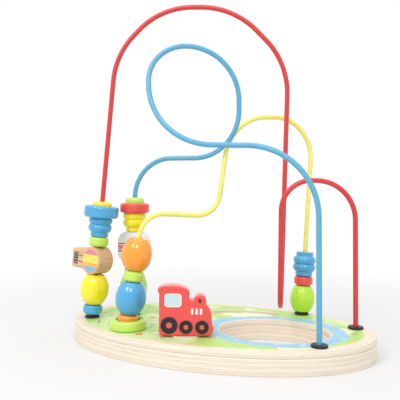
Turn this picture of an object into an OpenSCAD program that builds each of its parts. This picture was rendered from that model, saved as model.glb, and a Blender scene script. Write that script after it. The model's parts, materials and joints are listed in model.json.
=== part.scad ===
// Bead maze: an oval plywood base, three bent wires and painted wooden pieces that ride on them.
// Millimetres, +Z up. The origin is the centre of the underside of the base.
// X runs along the base, Y runs from the front to the back.

/* [Base] */
// Length of the oval base
base_length = 260; // [220:5:320]
// Width of the oval base
base_width = 154; // [130:2:200]
// Thickness of the lower board
lower_board = 12.5; // [10:0.5:18]
// Thickness of the upper board
upper_board = 5.5; // [4:0.5:9]
// Rounding of the top rim
rim_round = 2; // [0.5:0.25:3]
// Softening of the lower board's edge at the seam
seam_round = 0.8; // [0.3:0.1:1.5]
// Centre of the oval hole along X
hole_x = 50; // [40:1:60]
// Centre of the oval hole along Y
hole_y = -8.5; // [-15:0.5:0]
// Length of the oval hole
hole_length = 90; // [70:1:100]
// Width of the oval hole
hole_width = 75; // [60:1:84]

/* [Track] */
// Centre of the curved track along X
track_x = 22; // [15:1:30]
// Centre of the curved track along Y
track_y = -3; // [-8:1:4]
// Radius of the track's middle line
track_radius = 56.5; // [52:0.5:60]
// Width of the slot in the upper board
slot_width = 10.5; // [8:0.5:14]
// Direction from the centre to the front end of the slot
track_front = 233; // [225:1:240]
// Direction from the centre to the back end of the slot
track_back = 73; // [65:1:95]
// Depth of the channel in the lower board
channel_depth = 5; // [4:0.5:7]
// Gap around the slider's neck and keeper
slider_clearance = 0.7; // [0.4:0.1:1.2]

/* [Slider] */
// Diameter of the pale disc under the train
disc_d = 22; // [18:1:26]
// Thickness of the pale disc
disc_h = 1.2; // [1:0.2:3]
// Thickness of the keeper under the upper board
keeper_h = 3; // [2:0.25:4]
// How far the keeper reaches under the slot on each side
keeper_lip = 3; // [2:0.5:4]
// Diameter of the peg that the train turns on
peg_d = 6; // [5:0.5:8]
// Length of the peg above the disc
peg_h = 10; // [8:0.5:14]
// Running gap around the peg
peg_clearance = 0.3; // [0.3:0.05:0.6]

/* [Train] */
// Length over the bumper
train_length = 43; // [41:0.5:43]
// Height over the cab roof
train_height = 38.5; // [36:0.5:42]
// Thickness of the cut-out
train_thick = 14; // [11:0.5:15]
// Length of the cab
cab_length = 23.2; // [21:0.2:25]
// How far the roof stands out over the front of the cab
roof_brow = 0.3; // [0.1:0.1:0.8]
// Height of the roof above the cab's wall
roof_depth = 10.4; // [9:0.2:12]
// Radius of the arched cab roof
roof_arch = 28.5; // [24:0.5:34]
// Height of the train's lower body
body_height = 13; // [12:0.5:15]
// Height of the boiler
boiler_height = 27.5; // [26:0.5:29]
// Radius of the boiler's round front
boiler_radius = 13.2; // [12:0.2:14]
// How far the boiler's front lies behind the front of the body
boiler_inset = 0.2; // [0.1:0.1:1]
// Radius of the steam dome
dome_radius = 4.9; // [3.5:0.1:5.5]
// Depth of the dome's centre below the top of the boiler
dome_sink = 1.1; // [0.5:0.1:2]
// Rounding of the train's corners
train_round = 2.6; // [2:0.2:3]
// How far the roof and the bumper stand out
train_ledge = 1.2; // [0.6:0.2:2]
// Length of the bumper block, most of it inside the body
bumper_length = 10.4; // [8:0.2:12]
// Diameter of the rear wheel
big_wheel_d = 13; // [11:0.5:15]
// Diameter of the two front wheels
small_wheel_d = 10.4; // [8:0.4:12]
// Gap between the rear wheel and the rear of the body
rear_margin = 1.3; // [0.8:0.1:2]
// Gap between the front wheel and the front of the body
front_margin = 2.4; // [1.5:0.1:3]
// Gap between the two front wheels
wheel_gap = 1.8; // [1:0.1:2.4]
// Height of the wheels' lowest point above the train's foot
wheel_foot = 1.5; // [0.8:0.1:2]
// Height of a wheel disc above the train's side
wheel_relief = 0.4; // [0.2:0.1:1]
// Turn of the train from the long side of the base
train_turn = 18; // [0:1:360]

/* [Wires] */
// Wire diameter with its coating
wire_d = 4.2; // [3.5:0.1:5]
// Depth of the wire ends below the top of the base
wire_depth = 14; // [12:0.5:16]
// Height of the bend above each foot
foot_height = 3; // [2.5:0.25:5]
// Length of the gentle bend on each side of that height
foot_run = 2; // [1:0.25:2.5]
// Gap between a wire and the sleeve of its grommet
wire_clearance = 0.05; // [0.02:0.01:0.1]

/* [Grommets] */
// Flange diameter
grommet_d = 12.6; // [10:0.2:15]
// Flange thickness
grommet_h = 1.9; // [1:0.1:2.2]
// Wall of the sleeve in the base
grommet_wall = 1.5; // [1:0.1:2.5]
// Length of the sleeve in the base
grommet_sleeve = 10; // [6:0.5:11]
// Gap around the sleeve in the base
grommet_clearance = 0.05; // [0.02:0.01:0.1]

/* [Beads] */
// Bore through every bead
bead_bore = 6.2; // [5.5:0.1:7]
// Gap between neighbouring pieces
bead_gap = 0.3; // [0.3:0.05:0.6]
// Diameter of a small round-edged bead
small_d = 17; // [14:0.5:17.5]
// Height of a small bead
small_h = 8.8; // [7:0.2:10]
// Edge rounding of a small bead
small_round = 3; // [1:0.25:4]
// Diameter of an egg bead
egg_d = 25; // [22:0.5:26]
// Height of an egg bead
egg_h = 26.2; // [22:0.2:28]
// Diameter of the flat ends of an egg bead
egg_flat = 14; // [10:0.5:16]
// Diameter of the little egg bead
little_egg_d = 22.5; // [20:0.5:23.5]
// Height of the little egg bead
little_egg_h = 23.5; // [20:0.5:25]
// Diameter over the ribs of a ribbed bead
ribbed_d = 20.6; // [18:0.2:22]
// Height of a ribbed bead
ribbed_h = 21.5; // [18:0.5:23]
// Diameter of the collars of a ribbed bead
collar_d = 15.5; // [13:0.5:16.5]
// Radius of each rib's edge
rib_round = 4.4; // [3:0.2:5]

/* [Rings] */
// Outside diameter of the wide rings
ring_d = 30; // [28:0.5:30.5]
// Height of a wide ring
ring_h = 10.4; // [8:0.2:12]
// Height of the lime ring on the base
lime_ring_h = 8.2; // [6:0.2:8.6]
// Outside diameter of the red ring
red_ring_d = 26.6; // [25:0.2:28]
// Height of the red ring
red_ring_h = 9; // [7:0.2:10]
// Gap between a ring and the bead inside it
ring_gap = 1.2; // [0.6:0.1:2]
// Edge rounding of a ring
ring_round = 1.5; // [1:0.1:2]

/* [Cut_outs] */
// Diameter of the round part of the balloon
balloon_d = 24; // [20:0.5:26]
// Thickness of the balloon
balloon_thick = 16.5; // [12:0.5:18]
// Distance from the wire to the end of the basket
basket_reach = 24; // [20:0.5:26]
// Height of the basket
basket_h = 17; // [12:0.5:19]
// Rounding of the basket's corners
basket_round = 2; // [1:0.25:3]
// Turn of the balloon about its wire
balloon_turn = 250; // [0:5:360]
// Width of the white cut-out
white_width = 27; // [22:0.5:28]
// Height of the white cut-out
white_height = 27.5; // [22:0.5:30]
// Thickness of the white cut-out
white_thick = 13; // [10:0.5:15]
// Corner rounding of the white cut-out
white_round = 9; // [6:0.5:11]
// Turn of the white cut-out about its wire
white_turn = 270; // [0:5:360]

/* [Hidden] */
$fn = 96;
slack = 1;
joint_swell = 0.06;
joint_trim = 0.02;
joint_reach = 0.4;
base_top = lower_board + upper_board;

// Feet of the wires on the top of the base
red_left = [-110, -18];
red_right = [113, 21];
blue_left = [-81, 5];
blue_right = [90, -44.5];
yellow_left = [-63.5, -44.5];
yellow_right = [63.5, 59];
feet = [red_left, red_right, blue_left, blue_right, yellow_left, yellow_right];

// Corners of each wire above the top of the base, with the bend radius last
red_corners = [
    [-92, -12, 231, 66], [-55, 0, 273, 66], [6, 20.5, 274, 68], [52, 36, 226, 66],
    [48.5, 34, 16, 16.5], [54, -3, 16, 16.5], [54, -3, 122, 25], [111, 20, 122, 33]
];
blue_corners = [
    [-80, 5, 141, 35], [16.5, 3.5, 141, 40], [16.5, -1, 234, 44],
    [-51, -35, 230, 32], [-42, -53, 149, 56], [87, -40, 146, 54]
];
yellow_corners = [[-54, -37, 94, 20], [-3, 5, 91, 20], [6.5, 12.5, 177, 42], [71, 65, 181, 36]];

function unit(v) = v / norm(v);
function xyz(p) = [p[0], p[1], p[2]];
function foot_end(f) = [f[0], f[1], -wire_depth, 0];
function foot_lean(f, next) = acos(unit(xyz(next) - [f[0], f[1], foot_height])[2]);
function foot_turn(f, next) = [f[0], f[1], foot_height, foot_run / tan(foot_lean(f, next) / 2)];
function route(a, corners, b) = concat(
    [foot_end(a), foot_turn(a, corners[0])],
    corners,
    [foot_turn(b, corners[len(corners) - 1]), foot_end(b)]
);
function way_in(p, i) = unit(xyz(p[i]) - xyz(p[i - 1]));
function way_out(p, i) = unit(xyz(p[i + 1]) - xyz(p[i]));
function turn(p, i) = acos(min(1, way_in(p, i) * way_out(p, i)));
function cut_back(p, i) = p[i][3] * tan(turn(p, i) / 2);

red_route = route(red_left, red_corners, red_right);
blue_route = route(blue_left, blue_corners, blue_right);
yellow_route = route(yellow_left, yellow_corners, yellow_right);

// The roof's crest along its length, its corner rounding and the block's reach above the arch
crest_share = 0.43;
roof_round = 1.3 * train_round;
crest_slack = 0.3;
// Where the dome stands on the boiler, as a share of the boiler's radius
dome_share = 0.32;

// Each leg that carries beads: the point where the leg starts and its direction
red_leg = [xyz(red_route[1]), way_out(red_route, 1)];
blue_leg = [xyz(blue_route[1]), way_out(blue_route, 1)];
yellow_leg = [xyz(yellow_route[1]), way_out(yellow_route, 1)];
back_foot = len(yellow_route) - 2;
back_leg = [xyz(yellow_route[back_foot]), -way_in(yellow_route, back_foot)];

// Height of a ribbed bead's collars, and of the spot on the upper rib where a ring comes to rest
rib_overlap = 1.2;
collar_h = ribbed_h / 2 - 2 * rib_round + rib_overlap;
rib_centre = ribbed_d / 2 - rib_round;
ring_bore = small_d + 2 * ring_gap;
rib_reach = min(rib_round, max(0, ring_bore / 2 - rib_centre));
ring_seat = ribbed_h - collar_h - rib_round + sqrt(rib_round * rib_round - rib_reach * rib_reach);

// Heights of the pieces along their legs, each one resting on the piece below
first = 0;
red_1 = first;
red_2 = red_1 + small_h + bead_gap;
red_3 = red_2 + egg_h + bead_gap;
red_4 = red_3 + balloon_d + bead_gap;
red_5 = red_4 + small_h + bead_gap;
red_6 = red_5 + ribbed_h + bead_gap;
red_ring = red_5 + ring_seat + bead_gap;
blue_1 = first;
blue_2 = blue_1 + small_h + bead_gap;
blue_3 = blue_2 + egg_h + bead_gap;
blue_4 = blue_3 + small_h + bead_gap;
blue_5 = blue_4 + white_height + bead_gap;
blue_6 = blue_5 + ribbed_h + bead_gap;
blue_ring = blue_5 + ring_seat + bead_gap;
yellow_1 = first;
yellow_2 = yellow_1 + small_h + bead_gap;
yellow_3 = yellow_2 + egg_h + bead_gap;
yellow_4 = yellow_3 + small_h + bead_gap;
back_1 = first;
back_2 = back_1 + little_egg_h + bead_gap;
back_3 = back_2 + small_h + bead_gap;

sleeve_d = wire_d + 2 * wire_clearance + 2 * grommet_wall;
socket_d = sleeve_d + 2 * grommet_clearance;
neck_d = slot_width - 2 * slider_clearance;
keeper_d = slot_width + 2 * keeper_lip;
channel_width = keeper_d + 2 * slider_clearance;
keeper_z = lower_board - slider_clearance - keeper_h;
slider_x = track_x + track_radius * cos(track_front);
slider_y = track_y + track_radius * sin(track_front);
train_z = base_top + disc_h + bead_gap;

// A straight length of wire
module rod(a, b, d = wire_d) {
    along = unit(b - a);
    aside = unit(abs(along[2]) > 0.9 ? cross([0, 1, 0], along) : cross([0, 0, 1], along));
    across = cross(along, aside);
    multmatrix([
        [aside[0], across[0], along[0], a[0]],
        [aside[1], across[1], along[1], a[1]],
        [aside[2], across[2], along[2], a[2]]
    ])
        cylinder(d = d, h = norm(b - a));
}

// A round bend at corner i of a route
module bend(p, i) {
    ahead = way_in(p, i);
    axis = unit(cross(ahead, way_out(p, i)));
    out = cross(ahead, axis);
    centre = xyz(p[i]) - ahead * cut_back(p, i) - out * p[i][3];
    multmatrix([
        [out[0], ahead[0], axis[0], centre[0]],
        [out[1], ahead[1], axis[1], centre[1]],
        [out[2], ahead[2], axis[2], centre[2]]
    ])
        rotate_extrude(angle = turn(p, i))
            translate([p[i][3], 0])
                circle(d = wire_d);
}

// A short collar, a hair wider than the wire, that joins a rod and a bend
module collar(at, along) {
    reach = along * joint_reach;
    rod(at - reach, at + reach, wire_d + joint_swell);
}

// A whole wire: straight lengths joined by round bends
module wire(p) {
    last = len(p) - 1;
    translate([0, 0, base_top]) {
        for (i = [0 : last - 1]) {
            from = i == 0 ? 0 : cut_back(p, i) + joint_trim;
            to = i == last - 1 ? 0 : cut_back(p, i + 1) + joint_trim;
            rod(xyz(p[i]) + way_out(p, i) * from, xyz(p[i + 1]) - way_out(p, i) * to);
        }
        for (i = [1 : last - 1]) {
            bend(p, i);
            collar(xyz(p[i]) - way_in(p, i) * cut_back(p, i), way_in(p, i));
            collar(xyz(p[i]) + way_out(p, i) * cut_back(p, i), way_out(p, i));
        }
    }
}

// Puts a piece on a leg at a distance along it
module on_leg(leg, along) {
    up = leg[1];
    aside = unit(cross([0, 1, 0], up));
    back = cross(up, aside);
    at = leg[0] + up * along + [0, 0, base_top];
    multmatrix([
        [aside[0], back[0], up[0], at[0]],
        [aside[1], back[1], up[1], at[1]],
        [aside[2], back[2], up[2], at[2]]
    ])
        children();
}

// Half of a round-edged section, from an inner to an outer radius
module soft_section(inner, outer, height, edge) {
    difference() {
        union() {
            square([outer - edge, height]);
            translate([0, edge]) square([outer, height - 2 * edge]);
            for (z = [edge, height - edge])
                translate([outer - edge, z]) circle(r = edge);
        }
        translate([-slack, -slack]) square([inner + slack, height + 2 * slack]);
    }
}

// A short bead with soft edges
module small_bead() {
    rotate_extrude() soft_section(bead_bore / 2, small_d / 2, small_h, small_round);
}

// A barrel-shaped egg bead with flat ends
module egg_bead(wide, height) {
    stretch = height / sqrt(wide * wide - egg_flat * egg_flat);
    difference() {
        intersection() {
            translate([0, 0, height / 2]) scale([1, 1, stretch]) sphere(d = wide);
            cylinder(d = 2 * wide, h = height);
        }
        translate([0, 0, -slack]) cylinder(d = bead_bore, h = height + 2 * slack);
    }
}

// A bead with two round ribs between two collars
module ribbed_bead() {
    rotate_extrude()
        difference() {
            union() {
                square([collar_d / 2, ribbed_h]);
                for (z = [collar_h + rib_round, ribbed_h - collar_h - rib_round])
                    translate([rib_centre, z]) circle(r = rib_round);
            }
            translate([-slack, -slack]) square([bead_bore / 2 + slack, ribbed_h + 2 * slack]);
        }
}

// A wide ring with soft edges, loose around a small bead
module ring(wide, height) {
    rotate_extrude() soft_section(ring_bore / 2, wide / 2, height, ring_round);
}

// A flat shape with round corners, centred on the origin
module soft_rectangle(length, height, edge) {
    square([length - 2 * edge, height], center = true);
    square([length, height - 2 * edge], center = true);
    for (x = [-1, 1], y = [-1, 1])
        translate([x * (length / 2 - edge), y * (height / 2 - edge)]) circle(r = edge);
}

// An upright oval disc with a rounded top rim
module oval(length, width, height, edge) {
    scale([1, width / length, 1])
        rotate_extrude($fn = 240)
            union() {
                square([length / 2 - edge, height]);
                square([length / 2, height - edge]);
                translate([length / 2 - edge, height - edge]) circle(r = edge);
            }
}

// A straight-walled oval cutter
module oval_cutter(length, width, height) {
    scale([1, width / length, 1]) cylinder(d = length, h = height, $fn = 240);
}

// A curved slot along the track
module track_slot(width, height) {
    translate([track_x, track_y, 0]) {
        rotate([0, 0, track_back])
            rotate_extrude(angle = track_front - track_back, $fn = 240)
                translate([track_radius - width / 2, 0]) square([width, height]);
        for (at = [track_back, track_front])
            rotate([0, 0, at])
                translate([track_radius, 0, 0]) cylinder(d = width, h = height);
    }
}

// The keeper's channel in the lower board, longer than the slot by half its width at each end
module channel() {
    inner = track_radius - channel_width / 2;
    extra = asin(channel_width / 2 / inner);
    translate([track_x, track_y, lower_board - channel_depth])
        rotate([0, 0, track_back - extra])
            rotate_extrude(angle = track_front - track_back + 2 * extra, $fn = 240)
                translate([inner, 0]) square([channel_width, channel_depth + slack]);
}

// Stepped sockets under every foot, wide for the sleeve and narrow for the wire's end
module sockets() {
    wide = socket_d / 2;
    narrow = wire_d / 2 + wire_clearance;
    for (f = feet)
        translate([f[0], f[1], base_top])
            rotate_extrude()
                polygon([
                    [0, -wire_depth], [narrow, -wire_depth], [narrow, -grommet_sleeve],
                    [wide, -grommet_sleeve], [wide, slack], [0, slack]
                ]);
}

module lower_base() {
    color([0.93, 0.87, 0.76])
        difference() {
            translate([0, 0, -slack]) oval(base_length, base_width, lower_board + slack, seam_round);
            translate([0, 0, -base_length]) cube(2 * base_length, center = true);
            translate([hole_x, hole_y, -slack])
                oval_cutter(hole_length, hole_width, lower_board + 2 * slack);
            channel();
            sockets();
        }
}

module upper_base() {
    color([0.78, 0.88, 0.55])
        difference() {
            translate([0, 0, lower_board]) oval(base_length, base_width, upper_board, rim_round);
            translate([hole_x, hole_y, lower_board - slack])
                oval_cutter(hole_length, hole_width, upper_board + 2 * slack);
            translate([0, 0, lower_board - slack]) track_slot(slot_width, upper_board + 2 * slack);
            sockets();
        }
}

module red_wire() {
    color([0.86, 0.2, 0.19]) wire(red_route);
}

module blue_wire() {
    color([0.28, 0.62, 0.82]) wire(blue_route);
}

module yellow_wire() {
    color([0.96, 0.9, 0.35]) wire(yellow_route);
}

// A black grommet: a flange on the base with a sleeve in its socket
module grommet(f) {
    color([0.08, 0.08, 0.08])
        translate([f[0], f[1], base_top])
            difference() {
                union() {
                    cylinder(d = grommet_d, h = grommet_h);
                    translate([0, 0, -grommet_sleeve]) cylinder(d = sleeve_d, h = grommet_sleeve);
                }
                translate([0, 0, -grommet_sleeve - slack])
                    cylinder(
                        d = wire_d + 2 * wire_clearance,
                        h = grommet_sleeve + grommet_h + 2 * slack
                    );
            }
}

module red_left_grommet() {
    grommet(red_left);
}

module red_right_grommet() {
    grommet(red_right);
}

module blue_left_grommet() {
    grommet(blue_left);
}

module blue_right_grommet() {
    grommet(blue_right);
}

module yellow_left_grommet() {
    grommet(yellow_left);
}

module yellow_right_grommet() {
    grommet(yellow_right);
}

// The pale disc, its neck in the slot, the keeper below and the peg above
module train_slider() {
    color([0.9, 0.84, 0.72])
        translate([slider_x, slider_y, 0]) {
            translate([0, 0, base_top]) cylinder(d = disc_d, h = disc_h);
            translate([0, 0, keeper_z]) cylinder(d = neck_d, h = base_top - keeper_z);
            translate([0, 0, keeper_z]) cylinder(d = keeper_d, h = keeper_h);
            translate([0, 0, base_top]) cylinder(d = peg_d, h = disc_h + peg_h);
        }
}

// Side view of the locomotive, centred in length with its foot at zero
module train_outline() {
    rear = -train_length / 2;
    body = train_length - 2 * train_ledge;
    roof_length = train_ledge + cab_length + roof_brow;
    roof_x = rear + crest_share * roof_length;
    roof_low = train_height - roof_depth;
    roof_block = roof_depth + crest_slack;
    boiler_x = train_length / 2 - train_ledge - boiler_inset - boiler_radius;
    translate([0, body_height / 2]) soft_rectangle(body, body_height, train_round);
    translate([rear + train_ledge, body_height / 2])
        square([cab_length, train_height - 2 * train_round - body_height / 2]);
    intersection() {
        translate([roof_x, train_height - roof_arch]) circle(r = roof_arch);
        translate([rear + roof_length / 2, roof_low + roof_block / 2])
            soft_rectangle(roof_length, roof_block, roof_round);
    }
    translate([boiler_x, boiler_height - boiler_radius]) circle(r = boiler_radius);
    translate([boiler_x + dome_share * boiler_radius, boiler_height - dome_sink]) circle(r = dome_radius);
    translate([train_length / 2 - bumper_length / 2, small_wheel_d / 2])
        soft_rectangle(bumper_length, small_wheel_d / 2, train_ledge);
}

// Wheel discs on both sides of the train: place along the train and diameter
module wheels() {
    rear = -train_length / 2 + train_ledge;
    front = train_length / 2 - train_ledge - small_wheel_d / 2 - front_margin;
    spots = [
        [rear + big_wheel_d / 2 + rear_margin, big_wheel_d],
        [front - small_wheel_d - wheel_gap, small_wheel_d],
        [front, small_wheel_d]
    ];
    for (w = spots)
        translate([w[0], 0, w[1] / 2 + wheel_foot])
            rotate([90, 0, 0])
                cylinder(d = w[1], h = train_thick + 2 * wheel_relief, center = true);
}

module train() {
    color([0.9, 0.24, 0.22])
        translate([slider_x, slider_y, train_z])
            rotate([0, 0, train_turn])
                difference() {
                    union() {
                        rotate([90, 0, 0])
                            linear_extrude(height = train_thick, center = true) train_outline();
                        wheels();
                    }
                    translate([0, 0, -slack])
                        cylinder(d = peg_d + 2 * peg_clearance, h = peg_h + slack);
                }
}

module red_leg_blue_bead() {
    color([0.25, 0.6, 0.82]) on_leg(red_leg, red_1) small_bead();
}

module red_leg_yellow_egg() {
    color([0.98, 0.86, 0.1]) on_leg(red_leg, red_2) egg_bead(egg_d, egg_h);
}

// A balloon on its side: a round drum with its basket, bored across for the wire
module balloon() {
    color([0.84, 0.7, 0.56])
        on_leg(red_leg, red_3)
            rotate([0, 0, balloon_turn])
                translate([0, 0, balloon_d / 2])
                    difference() {
                        rotate([0, 90, 0])
                            linear_extrude(height = balloon_thick, center = true) {
                                circle(d = balloon_d);
                                translate([0, -basket_reach / 2])
                                    soft_rectangle(basket_h, basket_reach, basket_round);
                            }
                        cylinder(d = bead_bore, h = balloon_d + 2 * slack, center = true);
                    }
}

module red_leg_lime_bead() {
    color([0.72, 0.88, 0.3]) on_leg(red_leg, red_4) small_bead();
}

module red_leg_ribbed_bead() {
    color([0.25, 0.6, 0.82]) on_leg(red_leg, red_5) ribbed_bead();
}

module red_leg_blue_ring() {
    color([0.25, 0.6, 0.82]) on_leg(red_leg, red_ring) ring(ring_d, ring_h);
}

module red_leg_yellow_bead() {
    color([0.98, 0.86, 0.1]) on_leg(red_leg, red_6) small_bead();
}

module blue_leg_low_bead() {
    color([0.98, 0.86, 0.1]) on_leg(blue_leg, blue_1) small_bead();
}

module blue_leg_lime_egg() {
    color([0.72, 0.88, 0.3]) on_leg(blue_leg, blue_2) egg_bead(egg_d, egg_h);
}

module blue_leg_mid_bead() {
    color([0.9, 0.24, 0.22]) on_leg(blue_leg, blue_3) small_bead();
}

// A flat cut-out with round corners, bored from top to bottom for the wire
module white_cut_out() {
    color([0.94, 0.93, 0.9])
        on_leg(blue_leg, blue_4)
            rotate([0, 0, white_turn])
                translate([0, 0, white_height / 2])
                    difference() {
                        rotate([0, 90, 0])
                            linear_extrude(height = white_thick, center = true)
                                soft_rectangle(white_height, white_width, white_round);
                        cylinder(d = bead_bore, h = white_height + 2 * slack, center = true);
                    }
}

module blue_leg_ribbed_bead() {
    color([0.98, 0.86, 0.1]) on_leg(blue_leg, blue_5) ribbed_bead();
}

module blue_leg_red_ring() {
    color([0.9, 0.24, 0.22]) on_leg(blue_leg, blue_ring) ring(red_ring_d, red_ring_h);
}

module blue_leg_lime_bead() {
    color([0.72, 0.88, 0.3]) on_leg(blue_leg, blue_6) small_bead();
}

module yellow_leg_lime_ring() {
    middle = yellow_leg[0] + yellow_leg[1] * small_h / 2;
    color([0.72, 0.88, 0.3])
        translate([middle[0], middle[1], base_top]) ring(ring_d, lime_ring_h);
}

module yellow_leg_orange_bead() {
    color([1, 0.62, 0.16]) on_leg(yellow_leg, yellow_1) small_bead();
}

module yellow_leg_blue_egg() {
    color([0.25, 0.6, 0.82]) on_leg(yellow_leg, yellow_2) egg_bead(egg_d, egg_h);
}

module yellow_leg_lime_bead() {
    color([0.72, 0.88, 0.3]) on_leg(yellow_leg, yellow_3) small_bead();
}

module yellow_leg_orange_egg() {
    color([1, 0.62, 0.16]) on_leg(yellow_leg, yellow_4) egg_bead(egg_d, egg_h);
}

module back_leg_green_egg() {
    color([0.62, 0.85, 0.2]) on_leg(back_leg, back_1) egg_bead(little_egg_d, little_egg_h);
}

module back_leg_red_bead() {
    color([0.9, 0.24, 0.22]) on_leg(back_leg, back_2) small_bead();
}

module back_leg_ribbed_bead() {
    color([0.25, 0.6, 0.82]) on_leg(back_leg, back_3) ribbed_bead();
}

lower_base();
upper_base();
red_wire();
blue_wire();
yellow_wire();
red_left_grommet();
red_right_grommet();
blue_left_grommet();
blue_right_grommet();
yellow_left_grommet();
yellow_right_grommet();
train_slider();
train();
red_leg_blue_bead();
red_leg_yellow_egg();
balloon();
red_leg_lime_bead();
red_leg_ribbed_bead();
red_leg_blue_ring();
red_leg_yellow_bead();
blue_leg_low_bead();
blue_leg_lime_egg();
blue_leg_mid_bead();
white_cut_out();
blue_leg_ribbed_bead();
blue_leg_red_ring();
blue_leg_lime_bead();
yellow_leg_lime_ring();
yellow_leg_orange_bead();
yellow_leg_blue_egg();
yellow_leg_lime_bead();
yellow_leg_orange_egg();
back_leg_green_egg();
back_leg_red_bead();
back_leg_ribbed_bead();
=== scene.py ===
"""Bead maze: oval plywood base, bent coated wires, lacquered beads, cut-outs and a train."""

from __future__ import annotations

import json
import logging
import math
import random
from dataclasses import dataclass, field
from enum import Enum
from functools import partial
from typing import Callable, Sequence

import bmesh
import bpy
from mathutils import Matrix, Vector

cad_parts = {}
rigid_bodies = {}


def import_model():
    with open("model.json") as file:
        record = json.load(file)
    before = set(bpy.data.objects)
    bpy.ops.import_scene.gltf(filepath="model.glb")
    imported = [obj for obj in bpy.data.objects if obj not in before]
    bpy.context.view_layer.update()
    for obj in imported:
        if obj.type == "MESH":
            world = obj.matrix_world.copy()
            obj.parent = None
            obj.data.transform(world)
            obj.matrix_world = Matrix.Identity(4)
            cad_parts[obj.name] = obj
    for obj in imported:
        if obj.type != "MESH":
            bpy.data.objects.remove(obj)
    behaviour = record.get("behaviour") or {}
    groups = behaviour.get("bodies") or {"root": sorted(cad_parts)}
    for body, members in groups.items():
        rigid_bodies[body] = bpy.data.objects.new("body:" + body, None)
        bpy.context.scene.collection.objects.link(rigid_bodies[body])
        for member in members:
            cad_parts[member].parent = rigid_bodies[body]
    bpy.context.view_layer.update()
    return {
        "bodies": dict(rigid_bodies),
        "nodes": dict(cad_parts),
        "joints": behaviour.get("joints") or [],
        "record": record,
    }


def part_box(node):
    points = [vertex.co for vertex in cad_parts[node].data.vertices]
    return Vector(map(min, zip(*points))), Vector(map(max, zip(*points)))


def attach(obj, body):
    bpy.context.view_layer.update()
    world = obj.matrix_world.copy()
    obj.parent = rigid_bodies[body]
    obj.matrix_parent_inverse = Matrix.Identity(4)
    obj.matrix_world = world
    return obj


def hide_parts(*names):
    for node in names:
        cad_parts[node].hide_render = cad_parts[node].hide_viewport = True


log = logging.getLogger("bead_maze")

MM = 0.001  # metres in a millimetre
QUARTER = math.pi / 2  # a quarter turn in radians
FULL = 2 * math.pi  # a full turn in radians
WELD = 1e-7  # points closer than this in metres become one
BOARD_SMOOTH = 40.0  # edges of boards flatter than this in degrees are shaded smooth

Point2 = tuple[float, float]
Triple = tuple[float, float, float]
Colour = Triple
Corner = tuple[float, float, float, float]
Lay = Callable[[Point2, float], Vector]
Socket = bpy.types.NodeSocket

BLACK: Colour = (0.0, 0.0, 0.0)
WHITE: Colour = (1.0, 1.0, 1.0)


def linear(colour: Colour) -> tuple[float, float, float, float]:
    """Turns a screen colour into the linear colour that shaders take.

    Args:
        colour: red, green and blue from 0 to 1, as seen on a screen.

    Returns:
        The linear colour with an alpha of 1.
    """

    def channel(c: float) -> float:
        """Gives one channel's linear value."""
        return c / 12.92 if c <= 0.04045 else ((c + 0.055) / 1.055) ** 2.4

    return (channel(colour[0]), channel(colour[1]), channel(colour[2]), 1.0)


def mixed(a: Colour, b: Colour, share: float) -> Colour:
    """Blends two screen colours; share 0 gives the first and 1 the second."""
    return tuple(p + (q - p) * share for p, q in zip(a, b))


def polar(centre: Sequence[float], radius: float, turn: float) -> Point2:
    """Gives the point at a distance and a direction from a centre."""
    return (centre[0] + radius * math.cos(turn), centre[1] + radius * math.sin(turn))


def arc(
    centre: Sequence[float], radius: float, first: float, last: float, steps: int = 14
) -> list[Point2]:
    """Gives points along an arc.

    Args:
        centre: the arc's centre.
        radius: its radius.
        first: direction of the first point in radians.
        last: direction of the last point in radians.
        steps: steps along the arc.

    Returns:
        One point more than there are steps.
    """
    turns = (first + (last - first) * s / steps for s in range(steps + 1))
    return [polar(centre, radius, turn) for turn in turns]


def disc(centre: Point2, radius: float, steps: int) -> list[Point2]:
    """Gives the outline of a circle."""
    return arc(centre, radius, 0.0, FULL, steps)[:-1]


def scaled(outline: Sequence[Point2]) -> list[Point2]:
    """Turns an outline in millimetres into metres."""
    return [(x * MM, y * MM) for x, y in outline]


class Paint(Enum):
    """Lacquer colours of the wooden pieces."""

    RED = (0.94, 0.27, 0.24)
    BLUE = (0.27, 0.66, 0.86)
    YELLOW = (1.0, 0.93, 0.03)
    LIME = (0.77, 0.93, 0.38)
    GREEN = (0.74, 0.95, 0.20)
    ORANGE = (1.0, 0.63, 0.12)
    WHITE = (0.95, 0.94, 0.93)


class Coat(Enum):
    """Colours of the plastic coat on the wires."""

    RED = (0.85, 0.20, 0.19)
    BLUE = (0.35, 0.67, 0.81)
    YELLOW = (0.98, 0.94, 0.48)


class Ink(Enum):
    """Print colours on the cut-outs and on the base."""

    BLACK = (0.03, 0.025, 0.03)
    WHITE = (0.96, 0.95, 0.93)
    PALE_BLUE = (0.79, 0.87, 0.89)
    RED = (0.90, 0.33, 0.30)
    PINK = (0.93, 0.50, 0.58)
    YELLOW = (0.98, 0.88, 0.36)
    ORANGE = (0.97, 0.71, 0.33)
    BLUE = (0.45, 0.74, 0.86)
    BROWN = (0.36, 0.24, 0.20)
    LEAF = (0.42, 0.66, 0.30)
    GREY = (0.66, 0.66, 0.64)


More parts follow.
